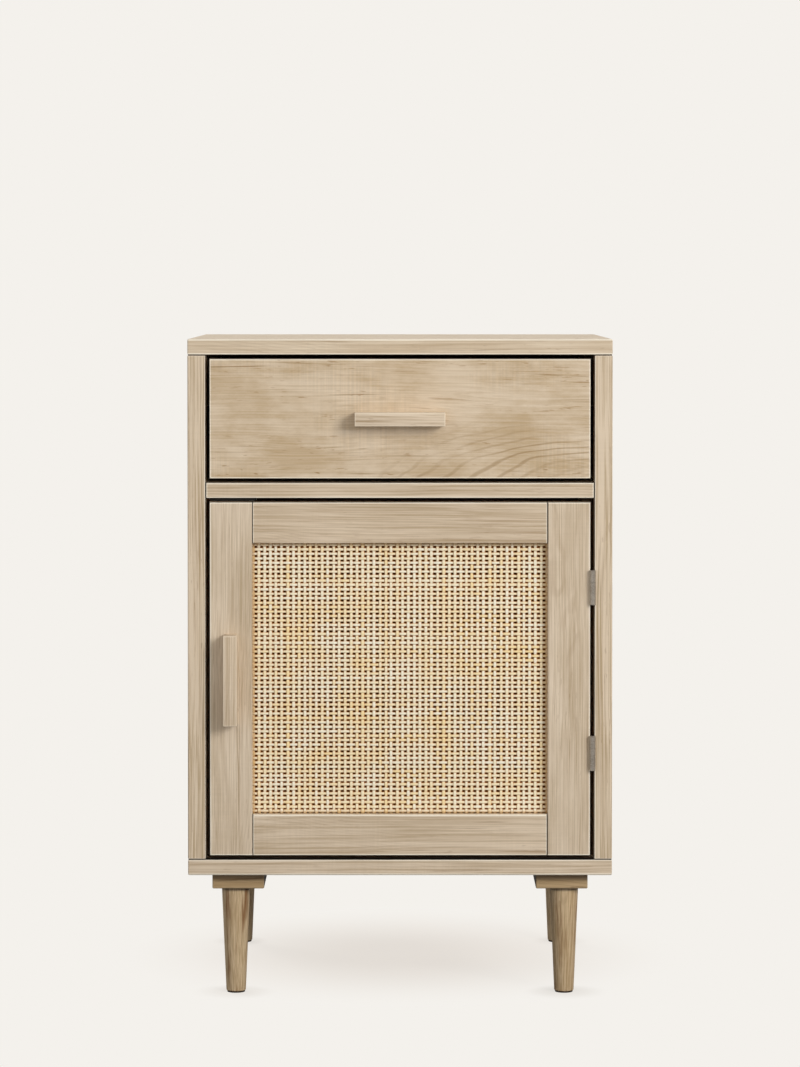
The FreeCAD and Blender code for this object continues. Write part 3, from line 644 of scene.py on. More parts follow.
class Finishes:
    """Every finish on the nightstand."""

    PALE = WoodFinish(
        "pale_wood", srgb(229, 211, 188), srgb(184, 162, 132), srgb(146, 114, 74), srgb(128, 92, 50),
        patch_share=0.4, line_share=0.6, dark_line_share=0.6, fleck_share=0.2, ripple=0.015,
    )
    BAR = replace(
        PALE, name="bar_wood", light=srgb(233, 216, 194), middle=srgb(191, 169, 140),
        edge_colour=srgb(240, 225, 203), edge_width=0.0012,
    )
    STILE = replace(
        PALE, name="stile_wood", light=srgb(231, 214, 192), middle=srgb(187, 166, 137),
        patch=Layer(7.0, 30.0, 0.34, 0.66, 8.0, 0.64), patch_share=0.44,
        line=Layer(5.0, 1150.0, 0.36, 0.66, 4.0, 0.6), line_share=0.56,
        thin=Layer(7.0, 900.0, 0.57, 0.72, 3.0), vein=Layer(11.0, 240.0, 0.63, 0.76, 4.0),
    )
    # A lighter version of the pale wood for the top panel: painted light, for a top that catches more light.
    LIT_TOP = WoodFinish(
        "lit_top_wood", srgb(233, 217, 194), srgb(196, 174, 145), srgb(154, 122, 82), srgb(132, 96, 54),
        patch_share=0.4, line_share=0.5, dark_line_share=0.55, ripple=0.015,
    )
    LINED = WoodFinish(
        "lined_wood", srgb(226, 208, 184), srgb(186, 164, 133), srgb(146, 114, 74), srgb(128, 92, 50),
        patch_share=0.4, line_share=0.45, front_lines=0.9, dark_line_share=0.4, ripple=0.01, ring_share=0.05,
        seam_and_shade_colour=srgb(78, 50, 26), edge_width=0.0014,
    )
    FIGURED = WoodFinish(
        "figured_wood", srgb(226, 208, 184), srgb(181, 153, 111), srgb(146, 113, 67), srgb(150, 110, 56),
        wander=0.016, patch=Layer(12.0, 26.0, 0.36, 0.64, 8.0, 0.64), patch_share=0.5, line_share=0.28,
        dark_line_share=0.8, streak_share=0.5, fleck_share=0.8, ripple=0.042, ring_spacing=0.0052,
        ring_share=0.54, ring_narrow=0.5, heart=Heart(0.3, 0.474, 0.25, 0.095),
    )
    LEG = WoodFinish(
        "leg_wood", srgb(222, 198, 162), srgb(173, 144, 105), srgb(124, 90, 54), srgb(126, 80, 36),
        wander=0.004, patch_share=0.22, line=Layer(5.0, 820.0, 0.36, 0.66, 4.0, 0.6), line_share=0.74,
        dark_line_share=0.8, vein=Layer(11.0, 240.0, 0.54, 0.7, 4.0), streak_share=0.85, ring_share=0.2,
        roughness=0.5,
    )
    # The runner's seam colour is the painted shade along its top.
    RUNNER = WoodFinish(
        "runner_wood", srgb(198, 171, 132), srgb(165, 136, 97), srgb(104, 74, 42), srgb(88, 56, 26),
        dark_line_share=0.65, streak_share=0.6, fleck_share=0.7, ring_share=0.2,
        seam_and_shade_colour=srgb(58, 36, 12), edge_colour=srgb(186, 162, 128), edge_width=0.0013,
    )
    DRAWER = WoodFinish(
        "drawer_wood", srgb(222, 205, 178), srgb(208, 188, 158), srgb(180, 156, 122), srgb(156, 126, 88)
    )
    DOWEL = WoodFinish(
        "dowel_wood", srgb(212, 186, 146), srgb(200, 172, 130), srgb(176, 144, 100), srgb(150, 116, 74)
    )
    CANE = CaneFinish(srgb(255, 250, 231), srgb(255, 228, 170), srgb(188, 110, 6), srgb(196, 152, 92))
    ZINC = SteelFinish("zinc_steel", srgb(206, 208, 210), srgb(178, 180, 183), 0.34, (400.0, 60.0, 3000.0))
    # The slides' front ends, seen in the drawer gap, take painted shade.
    SLIDE = replace(ZINC, name="slide_steel", dark_end=-0.145)
    BALL = SteelFinish("polished_balls", srgb(224, 224, 226), srgb(206, 206, 208), 0.14, (900.0, 900.0, 900.0))
    HINGE = SteelFinish("satin_nickel", srgb(186, 178, 168), srgb(150, 141, 131), 0.42, (700.0, 700.0, 2600.0))
    SCREW = SteelFinish("screw_steel", srgb(202, 199, 192), srgb(170, 166, 158), 0.3, (900.0, 900.0, 900.0))
    BACKBOARD = GranularFinish("fibre_board", srgb(212, 190, 158), srgb(190, 164, 128), 0.68, 0.0006, 0.00008)
    # Hardboard whose inner face is dark brown: painted shade for the inside of the cupboard, seen through the
    # cane.
    HARDBOARD = GranularFinish(
        "hard_board", srgb(206, 174, 132), srgb(158, 122, 82), 0.62, 0.0016, 0.00008,
        front_shade_colour=srgb(102, 68, 38), front_fade=0.001,
    )
    FELT = GranularFinish("felt", srgb(74, 62, 52), srgb(44, 36, 30), 0.95, 0.0005, 0.0003)
    # The catch housing's front end, seen in the door gap, takes painted shade.
    PLASTIC = GranularFinish(
        "moulded_plastic", srgb(232, 228, 218), srgb(218, 212, 200), 0.46, 0.0006, 0.00003, dark_front=-0.142
    )
    MAGNET = GranularFinish("ground_ferrite", srgb(82, 80, 80), srgb(54, 52, 52), 0.5, 0.0004, 0.00003)


def new_object(name: str, mesh: bpy.types.Mesh) -> bpy.types.Object:
    """Puts a mesh into the scene.

    Args:
        name: Name of the piece.
        mesh: Its mesh, in place.

    Returns:
        The new object, at the origin.
    """
    piece = bpy.data.objects.new(name, mesh)
    bpy.context.scene.collection.objects.link(piece)
    return piece


def mesh_of(name: str, form: bmesh.types.BMesh, smooth: bool = True) -> bpy.types.Mesh:
    """Turns a form into a mesh and frees it.

    Args:
        name: Name of the mesh.
        form: The form.
        smooth: Whether its faces are shaded smooth.

    Returns:
        The mesh.
    """
    bmesh.ops.recalc_face_normals(form, faces=form.faces)
    for face in form.faces:
        face.smooth = smooth
    mesh = bpy.data.meshes.new(name)
    form.to_mesh(mesh)
    form.free()
    return mesh


def model(
    name: str, form: bmesh.types.BMesh, material: bpy.types.Material, sharp: float = 180.0
) -> bpy.types.Object:
    """Turns a form into a smooth piece with its material.

    Args:
        name: Name of the piece.
        form: The form.
        material: Its material.
        sharp: Angle in degrees from which an edge stays sharp.

    Returns:
        The piece, at the origin.
    """
    mesh = mesh_of(name, form)
    mesh.set_sharp_from_angle(angle=math.radians(sharp))
    mesh.materials.append(material)
    return new_object(name, mesh)


def turn(form: bmesh.types.BMesh, profile: Profile, middle: Vector, segments: int) -> None:
    """Adds a turned shape that stands upright.

    Args:
        form: Form that takes the shape.
        profile: (radius, height) points from one end of the axis to the other.
        middle: Point on the axis at height 0.
        segments: Faces round the axis.
    """
    angles = [2 * math.pi * number / segments for number in range(segments)]
    rings: list[list[bmesh.types.BMVert]] = []
    for radius, height in profile:
        around = angles if radius else angles[:1]
        spots = [Vector((radius * math.cos(a), radius * math.sin(a), height)) for a in around]
        rings.append([form.verts.new(middle + spot) for spot in spots])
    for below, above in zip(rings, rings[1:]):
        for number in range(segments):
            follow = (number + 1) % segments
            corners = [below[number % len(below)], below[follow % len(below)]]
            corners += [above[follow % len(above)], above[number % len(above)]]
            form.faces.new(list(dict.fromkeys(corners)))


def rounded(radius: float, height: float, upward: int, corner: float, steps: int) -> Profile:
    """Gives the points of a rounded corner of a turned profile.

    Args:
        radius: Radius at the sharp corner.
        height: Height of the sharp corner.
        upward: Direction of the side from the corner, 1 at the lower end and -1 at the upper end.
        corner: Radius of the rounding.
        steps: Faces of the rounding.

    Returns:
        (radius, height) points in the order of the profile.
    """
    turns = [QUARTER_TURN * number / steps for number in range(steps + 1)]
    flat = radius - corner
    arc = [(flat + corner * math.sin(a), height + upward * corner * (1 - math.cos(a))) for a in turns]
    return arc[::upward]


def underside(low: Sequence[float], high: Sequence[float]) -> Vector:
    """Gives the middle of the underside of a box."""
    return Vector(((low[X] + high[X]) / 2, (low[Y] + high[Y]) / 2, low[Z]))


def islands(node: str) -> list[Box]:
    """Finds the separate solids of a node.

    Args:
        node: Name of the node.

    Returns:
        The lowest and highest corner of each solid, in a steady order.
    """
    form = bmesh.new()
    form.from_mesh(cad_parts[node].data)
    bmesh.ops.remove_doubles(form, verts=form.verts, dist=MERGE_DISTANCE)
    left = set(form.verts)
    boxes: list[Box] = []
    while left:
        found = [left.pop()]
        for vert in found:
            near = {edge.other_vert(vert) for edge in vert.link_edges} & left
            found.extend(near)
            left -= near
        axes = list(zip(*(vert.co for vert in found)))
        boxes.append((Vector([min(axis) for axis in axes]), Vector([max(axis) for axis in axes])))
    form.free()
    return sorted(boxes, key=lambda box: tuple(round(value, 6) for value in box[0]))


def settle(piece: bpy.types.Object, body: str, slot: str, *nodes: str) -> bpy.types.Object:
    """Makes a new piece ride on its body and stand for its nodes.

    Args:
        piece: The finished piece.
        body: Body that it moves with.
        slot: Not used.
        *nodes: Nodes that it stands for.

    Returns:
        The same piece.
    """
    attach(piece, body)
    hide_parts(*nodes)
    return piece


def paint(node: str, material: bpy.types.Material, smooth: bool = False) -> bpy.types.Object:
    """Gives a node that is shown as it is its finish.

    Args:
        node: Name of the node.
        material: Its material.
        smooth: Whether its curved faces are shaded smooth.

    Returns:
        The node's object.
    """
    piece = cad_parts[node]
    if piece.material_slots:
        piece.material_slots[0].material = material
    else:
        piece.data.materials.append(material)
    if smooth:
        piece.modifiers.new(SmoothCurves.NAME, "NODES").node_group = SmoothCurves.tree()
    return piece


def stile_edges() -> Span:
    """Gives the inner edges of the door's two stiles."""
    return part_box("door_left_stile")[1][0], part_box("door_right_stile")[0][0]


class GeometryTree(Graph):
    """A Geometry Nodes tree with named inputs, whose result becomes a plain mesh."""

    def __init__(self, name: str, inputs: dict[str, str]) -> None:
        """Starts a tree.

        Args:
            name: Name of the tree.
            inputs: Input name to its socket type.
        """
        super().__init__(bpy.data.node_groups.new(name, "GeometryNodeTree"))
        face = self.tree.interface
        face.new_socket("Geometry", in_out="OUTPUT", socket_type="NodeSocketGeometry")
        self.keys = {
            label: face.new_socket(label, in_out="INPUT", socket_type=kind).identifier
            for label, kind in ({"Geometry": "NodeSocketGeometry"} | inputs).items()
        }
        outputs = self.add("NodeGroupInput").outputs
        self.given = {label: Wire(self, outputs[label]) for label in self.keys}

    def close(self, geometry: Wire, material: Wire) -> None:
        """Ends the tree with real geometry that has its material.

        Args:
            geometry: The geometry.
            material: The material.
        """
        real = self.wire("GeometryNodeRealizeInstances", {0: geometry})
        dressed = self.wire("GeometryNodeSetMaterial", {"Geometry": real, "Material": material})
        self.add("NodeGroupOutput", {0: dressed})

    def grow(self, name: str, base: bpy.types.Mesh, values: dict[str, Any]) -> bpy.types.Object:
        """Runs the tree and keeps its result as a plain mesh.

        Args:
            name: Name of the piece.
            base: Mesh that the tree starts from.
            values: Input name to its value.

        Returns:
            The piece, with no modifier left on it.
        """
        piece = new_object(name, base)
        modifier = piece.modifiers.new(name, "NODES")
        modifier.node_group = self.tree
        for label, value in values.items():
            modifier[self.keys[label]] = value
        view = bpy.context.evaluated_depsgraph_get()
        mesh = bpy.data.meshes.new_from_object(piece.evaluated_get(view), depsgraph=view)
        mesh.name = name
        piece.modifiers.clear()
        piece.data = mesh
        return piece


class SmoothCurves:
    """Joins the loose triangles of a curved node and shades its gentle edges smooth."""

    NAME = "smooth_curves"
    SHARP = math.radians(32)

    @classmethod
    def tree(cls) -> bpy.types.NodeTree:
        """Gives the one shared tree, built on its first use."""
        if cls.NAME in bpy.data.node_groups:
            return bpy.data.node_groups[cls.NAME]
        graph = GeometryTree(cls.NAME, {})
        inputs = {"Geometry": graph.given["Geometry"], "Distance": MERGE_DISTANCE}
        joined = graph.wire("GeometryNodeMergeByDistance", inputs)
        angle = graph.wire("GeometryNodeInputMeshEdgeAngle")
        gentle = graph.wire("FunctionNodeCompare", {0: angle, 1: cls.SHARP}, operation="LESS_THAN")
        faces = graph.wire("GeometryNodeSetShadeSmooth", {0: joined, 2: True}, domain="FACE")
        edges = graph.wire("GeometryNodeSetShadeSmooth", {0: faces, 2: gentle}, domain="EDGE")
        graph.add("NodeGroupOutput", {0: edges})
        return graph.tree


class WovenStrands:
    """Parallel cane strands that pass over and under the strands that cross them."""

    SKIN = "skin"
    OPEN = "open"
    COUNTS = ("Strands", "Crossings", "Seed")
    SIZES = (
        "Strand Pitch", "Crossing Pitch", "Width", "Thickness", "Rise", "Stray", "Uneven", "Bulge", "Turn",
    )
    INPUTS = (
        dict.fromkeys(COUNTS, "NodeSocketInt") | dict.fromkeys(SIZES, "NodeSocketFloat")
        | {"Middle": "NodeSocketVector", "Material": "NodeSocketMaterial"}
    )
    DRIFT_WAVES: Triple = (40.0, 40.0, 40.0)
    WIDTH_SEED = 7.0
    NEIGHBOUR = 1.5
    CURVE_STEPS = 2
    SECTION_SIDES = 6

    def __init__(self) -> None:
        """Builds the tree, whose points lie on the crossings and halfway between them."""
        graph = self.graph = GeometryTree("woven_strands", self.INPUTS)
        given = graph.given
        self.points = given["Crossings"] * 2.0 - 1.0
        index = graph.wire("GeometryNodeInputIndex")
        self.strand = graph.math("FLOOR", (index + 0.5) / self.points)
        self.wave = graph.math("COSINE", (index - self.strand * self.points) * QUARTER_TURN)
        self.crossing = self.wave * self.wave

        curves, width = self.curves(self.rows())
        inputs = {"Curve": curves, "Profile Curve": self.section(), "Scale": width, "Fill Caps": True}
        tubes = graph.wire("GeometryNodeCurveToMesh", inputs)
        smooth = graph.wire("GeometryNodeSetShadeSmooth", {0: tubes, 2: True})
        inputs = {"Geometry": smooth, "Rotation": graph.join(z=given["Turn"])}
        laid = graph.wire("GeometryNodeTransform", inputs)
        upright = {"Geometry": laid, "Rotation": (QUARTER_TURN, 0.0, 0.0), "Translation": given["Middle"]}
        graph.close(graph.wire("GeometryNodeTransform", upright), given["Material"])

    def random(self, seed: Wire, reach: Wire) -> Wire:
        """Gives each strand a steady random amount between minus and plus the reach."""
        inputs = {2: -1.0, 3: 1.0, "ID": self.strand, "Seed": seed}
        return self.graph.wire("FunctionNodeRandomValue", inputs, 1, data_type="FLOAT") * reach

    def stored(self, geometry: Wire, name: str, value: Wire) -> Wire:
        """Stores a number at each point."""
        inputs = {"Geometry": geometry, "Name": name, "Value": value}
        return self.graph.wire("GeometryNodeStoreNamedAttribute", inputs, data_type="FLOAT", domain="POINT")

    def rows(self) -> Wire:
        """Lays the strands out flat, as rows of points that rise and dip by turns."""
        graph, given = self.graph, self.graph.given
        inputs = {
            "Size X": (given["Strands"] - 1.0) * given["Strand Pitch"], "Vertices X": given["Strands"],
            "Size Y": (given["Crossings"] - 1.0) * given["Crossing Pitch"], "Vertices Y": self.points,
        }
        grid = graph.wire("GeometryNodeMeshGrid", inputs)
        odd = graph.math("ROUND", graph.math("MODULO", self.strand, 2.0))
        lift = (1.0 - odd * 2.0) * self.wave * given["Rise"]
        wander = graph.noise(graph.wire("GeometryNodeInputPosition"), self.DRIFT_WAVES)
        drift = (wander - 0.5) * given["Stray"]
        aside = self.random(given["Seed"], given["Stray"]) + drift
        inputs = {"Geometry": grid, "Offset": graph.join(x=aside, z=lift)}
        moved = graph.wire("GeometryNodeSetPosition", inputs)
        ends = graph.add("GeometryNodeInputMeshEdgeVertices").outputs
        apart = abs(Wire(graph, ends[0]) - Wire(graph, ends[1]))
        inputs = {"Geometry": moved, "Selection": graph.math("GREATER_THAN", apart, self.NEIGHBOUR)}
        return graph.wire("GeometryNodeDeleteGeometry", inputs, domain="EDGE", mode="EDGE_FACE")

    def curves(self, rows: Wire) -> tuple[Wire, Wire]:
        """Turns the rows into soft curves that bulge over the crossings.

        Args:
            rows: The rows of points.

        Returns:
            The curves, and their width as a share of the usual width.
        """
        graph, given = self.graph, self.graph.given
        uneven = self.random(given["Seed"] + self.WIDTH_SEED, given["Uneven"])
        kept = graph.add("GeometryNodeCaptureAttribute", {"Geometry": rows}, domain="POINT")
        for name in ("width", "between"):
            kept.capture_items.new("FLOAT", name)
        graph.feed(kept, {1: uneven + self.crossing * given["Bulge"] + 1.0, 2: 1.0 - self.crossing})
        points, width, between = (Wire(graph, output) for output in kept.outputs[:3])
        curve = graph.wire("GeometryNodeMeshToCurve", {0: points})
        curve = graph.wire("GeometryNodeCurveSplineType", {"Curve": curve}, spline_type="CATMULL_ROM")
        inputs = {"Geometry": curve, "Resolution": self.CURVE_STEPS}
        curve = graph.wire("GeometryNodeSetSplineResolution", inputs)
        curve = self.stored(curve, self.OPEN, between)
        inputs = {"Curve": curve, "Normal": (1.0, 0.0, 0.0)}
        return graph.wire("GeometryNodeSetCurveNormal", inputs, mode="FREE"), width

    def section(self) -> Wire:
        """Makes the oval section of a strand, which knows its outer side."""
        graph, given = self.graph, self.graph.given
        inputs = {"Resolution": self.SECTION_SIDES, "Radius": 0.5}
        ring = graph.wire("GeometryNodeCurvePrimitiveCircle", inputs)
        height = graph.split(graph.wire("GeometryNodeInputPosition"))[Y]
        ring = self.stored(ring, self.SKIN, height * -2.0)
        size = graph.join(given["Width"], given["Thickness"], 1.0)
        return graph.wire("GeometryNodeTransform", {"Geometry": ring, "Scale": size})

    def grow(self, name: str, values: dict[str, Any]) -> bpy.types.Object:
        """Weaves the strands of one direction into one plain mesh."""
        return self.graph.grow(name, bpy.data.meshes.new(name), values)


class Scatter:
    """Sets copies of one small piece on points, each turned to its own heading."""

    INPUTS = {
        "Piece": "NodeSocketObject", "Twist": "NodeSocketFloat", "Seed": "NodeSocketInt",
        "Material": "NodeSocketMaterial",
    }
    HEADING = "heading"

    def __init__(self) -> None:
        """Builds the tree."""
        graph = self.graph = GeometryTree("scatter", self.INPUTS)
        given = graph.given
        inputs = {"Name": self.HEADING}
        heading = graph.wire("GeometryNodeInputNamedAttribute", inputs, data_type="FLOAT_VECTOR")
        aligned = graph.wire("FunctionNodeAlignRotationToVector", {"Vector": heading}, axis="Z")
        inputs = {2: 0.0, 3: given["Twist"], "Seed": given["Seed"]}
        twist = graph.wire("FunctionNodeRandomValue", inputs, 1, data_type="FLOAT")
        spin = graph.wire("FunctionNodeAxisAngleToRotation", {"Axis": (0.0, 0.0, 1.0), "Angle": twist})
        turned = graph.wire("FunctionNodeRotateRotation", {0: aligned, 1: spin}, rotation_space="LOCAL")
        single = graph.wire("GeometryNodeObjectInfo", {"Object": given["Piece"]}, "Geometry")
        inputs = {"Points": given["Geometry"], "Instance": single, "Rotation": turned}
        graph.close(graph.wire("GeometryNodeInstanceOnPoints", inputs), given["Material"])

    def grow(
        self, name: str, template: bpy.types.Mesh, spots: Sequence[tuple[Vector, Vector]],
        material: bpy.types.Material, seed: int,
    ) -> bpy.types.Object:
        """Sets out the copies.

        Args:
            name: Name of the piece.
            template: Mesh of one copy, with its heading along Z.
            spots: Place and heading of each copy.
            material: Material of the copies.
            seed: Seed of their twist.

        Returns:
            The copies as one plain mesh.
        """
        base = bpy.data.meshes.new(name)
        base.from_pydata([spot for spot, _ in spots], [], [])
        headings = base.attributes.new(self.HEADING, "FLOAT_VECTOR", "POINT")
        for number, (_, heading) in enumerate(spots):
            headings.data[number].vector = heading
        single = new_object(f"{name}_template", template)
        values = {"Piece": single, "Twist": math.pi, "Seed": seed, "Material": material}
        piece = self.graph.grow(name, base, values)
        bpy.data.objects.remove(single)
        return piece


class Head(Enum):
    """Shape of a screw's head: (radius, depth) shares of its radius, from the flat to the rim."""

    SUNK = ((0.82, 0.0), (0.97, 0.09), (1.0, 0.2))
    PAN = ((0.6, 0.0), (0.84, 0.1), (0.97, 0.28), (1.0, 0.6))


@dataclass(frozen=True)
class ScrewKind:
    """One kind of screw on the nightstand, with a cross recess in its head."""

    node: str
    body: str
    heading: tuple[int, int, int]
    head: Head
    shank: float
    mirrored: bool = False
    segments: int = 20
    flat: float = 1e-7
    tip_share: float = 0.3
    recess_share: float = 0.78
    arm_share: float = 0.17
    depth_share: float = 0.7
    taper_share: float = 0.55

    def spots(self) -> list[tuple[Vector, Vector]]:
        """Gives the top of each head and the direction that it faces."""
        found = []
        for low, high in islands(self.node):
            facing = -Vector(self.heading)
            if self.mirrored and (low.x + high.x) < 0:
                facing.x = -facing.x
            reach = sum(abs(facing[axis]) * (high[axis] - low[axis]) / 2 for axis in range(3))
            found.append(((low + high) / 2 + facing * reach, facing))
        return found

    def sizes(self) -> Span:
        """Gives the head's radius and the screw's length, read from the first solid."""
        low, high = islands(self.node)[0]
        size = high - low
        axis = max(range(3), key=lambda number: abs(self.heading[number]))
        wide = max(size[number] for number in range(3) if number != axis)
        return wide / 2, size[axis]

    def template(self) -> bpy.types.Mesh:
        """Models the screw with the top of its head at the origin, facing along Z."""
        head, length = self.sizes()
        shank = self.shank / 2
        rim = [(head * wide, -head * deep) for wide, deep in self.head.value]
        cone = head - shank if self.head is Head.SUNK else 0.0
        stem = [(shank, rim[-1][1] - cone), (shank, shank * 2 - length)]
        form = bmesh.new()
        turn(form, rim + stem + [(shank * self.tip_share, -length), (0.0, -length)], Vector(), self.segments)
        self.recess(form, rim[0][0])
        return mesh_of(self.node, form, smooth=False)

    def recess(self, form: bmesh.types.BMesh, radius: float) -> None:
        """Closes the head with a tapered cross recess.

        Args:
            form: Form of the screw, open at the top.
            radius: Radius of the head's flat.
        """
        open_edges = [edge for edge in form.edges if edge.is_boundary]
        top = [edge for edge in open_edges if all(abs(v.co.z) < self.flat for v in edge.verts)]
        reach, arm = radius * self.recess_share, radius * self.arm_share
        corner = [(arm, arm), (arm, reach), (-arm, reach)]
        spots = [Matrix.Rotation(QUARTER_TURN * k, 2) @ Vector(spot) for k in range(4) for spot in corner]
        upper = [form.verts.new((*spot, 0.0)) for spot in spots]
        taper, deep = self.taper_share, radius * self.depth_share
        lower = [form.verts.new((spot.x * taper, spot.y * taper, -deep)) for spot in spots]
        sides = list(zip(upper, upper[1:] + upper[:1], lower[1:] + lower[:1], lower))
        ring = [form.edges.new(side[:2]) for side in sides]
        bmesh.ops.triangle_fill(form, edges=top + ring, use_beauty=True)
        for side in sides:
            form.faces.new(side)
        form.faces.new(lower)


@dataclass
class Screws:
    """All the screws."""

    scatter: Scatter
    kinds: tuple[ScrewKind, ...] = (
        ScrewKind("bottom_panel_screws", "cabinet", (0, 0, 1), Head.SUNK, 0.0046),
        ScrewKind("leg_runner_screws", "cabinet", (0, 0, 1), Head.SUNK, 0.0032),
        ScrewKind("back_panel_screws", "cabinet", (0, -1, 0), Head.PAN, 0.0022),
        ScrewKind("cabinet_rail_screws", "cabinet", (1, 0, 0), Head.SUNK, 0.0026, mirrored=True),
        ScrewKind("hinge_cabinet_screws", "cabinet", (1, 0, 0), Head.SUNK, 0.0026),
        ScrewKind("catch_screws", "cabinet", (0, 0, 1), Head.PAN, 0.0026),
        ScrewKind("drawer_rail_screws", "drawer", (-1, 0, 0), Head.SUNK, 0.0026, mirrored=True),
        ScrewKind("drawer_pull_screws", "drawer", (0, -1, 0), Head.PAN, 0.0036),
        ScrewKind("door_pull_screws", "door", (0, -1, 0), Head.PAN, 0.0036),
        ScrewKind("hinge_door_screws", "door", (-1, 0, 0), Head.SUNK, 0.0026),
    )

    def build(self) -> list[bpy.types.Object]:
        """Sets every screw in its hole."""
        material = Finishes.SCREW.material()
        pieces = []
        for seed, kind in enumerate(self.kinds):
            piece = self.scatter.grow(f"{kind.node}_cross", kind.template(), kind.spots(), material, seed)
            pieces.append(settle(piece, kind.body, "screw_steel", kind.node))
        return pieces


@dataclass
class Boards:
    """The boards of the cabinet, the drawer box and the back, painted where they stand."""

    figured: str = "drawer_front"
    figured_seed: int = 12
    first_seed: int = 11
    groups: tuple[tuple[WoodFinish, Grain, tuple[str, ...]], ...] = (
        (Finishes.LIT_TOP, Grain.ACROSS, ("top_panel",)),
        (Finishes.PALE, Grain.ACROSS, ("bottom_panel", "divider_panel", "door_top_rail", "door_bottom_rail")),
        (Finishes.PALE, Grain.ACROSS, ("cane_beads",)),
        (Finishes.STILE, Grain.UPRIGHT, ("door_left_stile", "door_right_stile")),
        (Finishes.LINED, Grain.UPRIGHT, ("left_side_panel", "right_side_panel")),
        (Finishes.DRAWER, Grain.DEEP, ("drawer_left_side", "drawer_right_side")),
        (Finishes.DRAWER, Grain.ACROSS, ("drawer_back",)),
        (Finishes.DOWEL, Grain.ACROSS, ("carcass_dowels", "drawer_dowels")),
    )
    runners: tuple[tuple[str, int], ...] = (("left_leg_runner", 1), ("right_leg_runner", 0))
    runner_top_shade: Span = (0.009, 0.5)
    several: tuple[str, ...] = ("cane_beads", "carcass_dowels", "drawer_dowels")
    rails: tuple[str, ...] = ("door_top_rail", "door_bottom_rail")
    jointed: tuple[tuple[str, int], ...] = (
        ("divider_panel", X), ("left_side_panel", Z), ("right_side_panel", Z),
    )
    joint_width: float = 0.0009
    # Sides of boards beside the door and drawer gaps, whose front edges take painted shade.
    gaps: tuple[tuple[str, int, tuple[int, ...]], ...] = (
        ("drawer_front", X, (0, 1)), ("drawer_front", Z, (0, 1)), ("divider_panel", Z, (0, 1)),
        ("top_panel", Z, (0,)), ("bottom_panel", Z, (1,)), ("left_side_panel", X, (1,)),
        ("right_side_panel", X, (0,)), ("door_left_stile", X, (0,)), ("door_left_stile", Z, (0, 1)),
        ("door_right_stile", X, (1,)), ("door_right_stile", Z, (0, 1)), ("door_top_rail", Z, (1,)),
        ("door_bottom_rail", Z, (0,)),
    )
    # Depth of the painted shade on the bottom panel's top face, behind the door's lower gap.
    sill_shade_depth: float = 0.016
    # How far the box passes a board where an edge takes neither wear nor painted highlight.
    plain_edge_reach: float = 0.01

    def seams(self, node: str) -> list[Dark]:
        """Finds the dark joints at the ends of a board and the painted shade beside its gaps.

        Args:
            node: Name of the board.

        Returns:
            A joint for each end that butts against another board, and painted shade for each side that faces a
            gap.
        """
        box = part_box(node)
        found: list[Dark] = []
        for board, axis in self.jointed:
            if board == node:
                found += [Seam(axis, corner[axis], self.joint_width) for corner in box]
        if node in self.rails:
            found += [Seam(X, edge) for edge in stile_edges()]
        for board, axis, ends in self.gaps:
            if board == node:
                depth = self.sill_shade_depth if node == "bottom_panel" else Reveal.depth
                found += [Reveal(axis, box[end][axis], box[0][Y], depth=depth) for end in ends]
        return found

    def worn_and_highlit_box(self, node: str) -> Box | None:
        """Finds the box whose edges are lightened, as wear and as a painted highlight, which passes the board
        where an edge is kept plain.

        Args:
            node: Name of the board.

        Returns:
            Lowest and highest corner, or nothing for a node of several pieces.
        """
        if node in self.several:
            return None
        low, high = (Vector(corner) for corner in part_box(node))
        if node in self.rails:
            low.x, high.x = stile_edges()
        if node == "door_top_rail":
            low.z -= self.plain_edge_reach
        elif node == "door_left_stile":
            high.x += self.plain_edge_reach
        elif node == "door_right_stile":
            low.x -= self.plain_edge_reach
        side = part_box("top_panel")[1][0] - MERGE_DISTANCE
        if low.x < -side:
            low.x -= self.plain_edge_reach
        if high.x > side:
            high.x += self.plain_edge_reach
        return low, high

    def build(self) -> list[bpy.types.Object]:
        """Paints every board with its own figure."""
        node = self.figured
        front = Finishes.FIGURED.material(node, Grain.ACROSS, self.figured_seed, self.seams(node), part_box(node))
        pieces = [paint(node, front)]
        seed = self.first_seed
        for finish, grain, nodes in self.groups:
            for node in nodes:
                material = finish.material(node, grain, seed, self.seams(node), self.worn_and_highlit_box(node))
                pieces.append(paint(node, material))
                seed += 1
        for node, inner in self.runners:
            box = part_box(node)
            # Painted shade along the runner's top under the bottom panel, and on its inner side under the
            # cabinet.
            darks = (Seam(Z, box[1][Z], *self.runner_top_shade), Shade(X, box[inner][X], box[0][Y]))
            pieces.append(paint(node, Finishes.RUNNER.material(node, Grain.ACROSS, seed, darks, box)))
            seed += 1
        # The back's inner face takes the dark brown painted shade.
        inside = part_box("back_panel")[0][1] + MERGE_DISTANCE
        pieces.append(paint("back_panel", replace(Finishes.HARDBOARD, dark_front=inside).material()))
        pieces.append(paint("drawer_bottom", Finishes.BACKBOARD.material()))
        return pieces


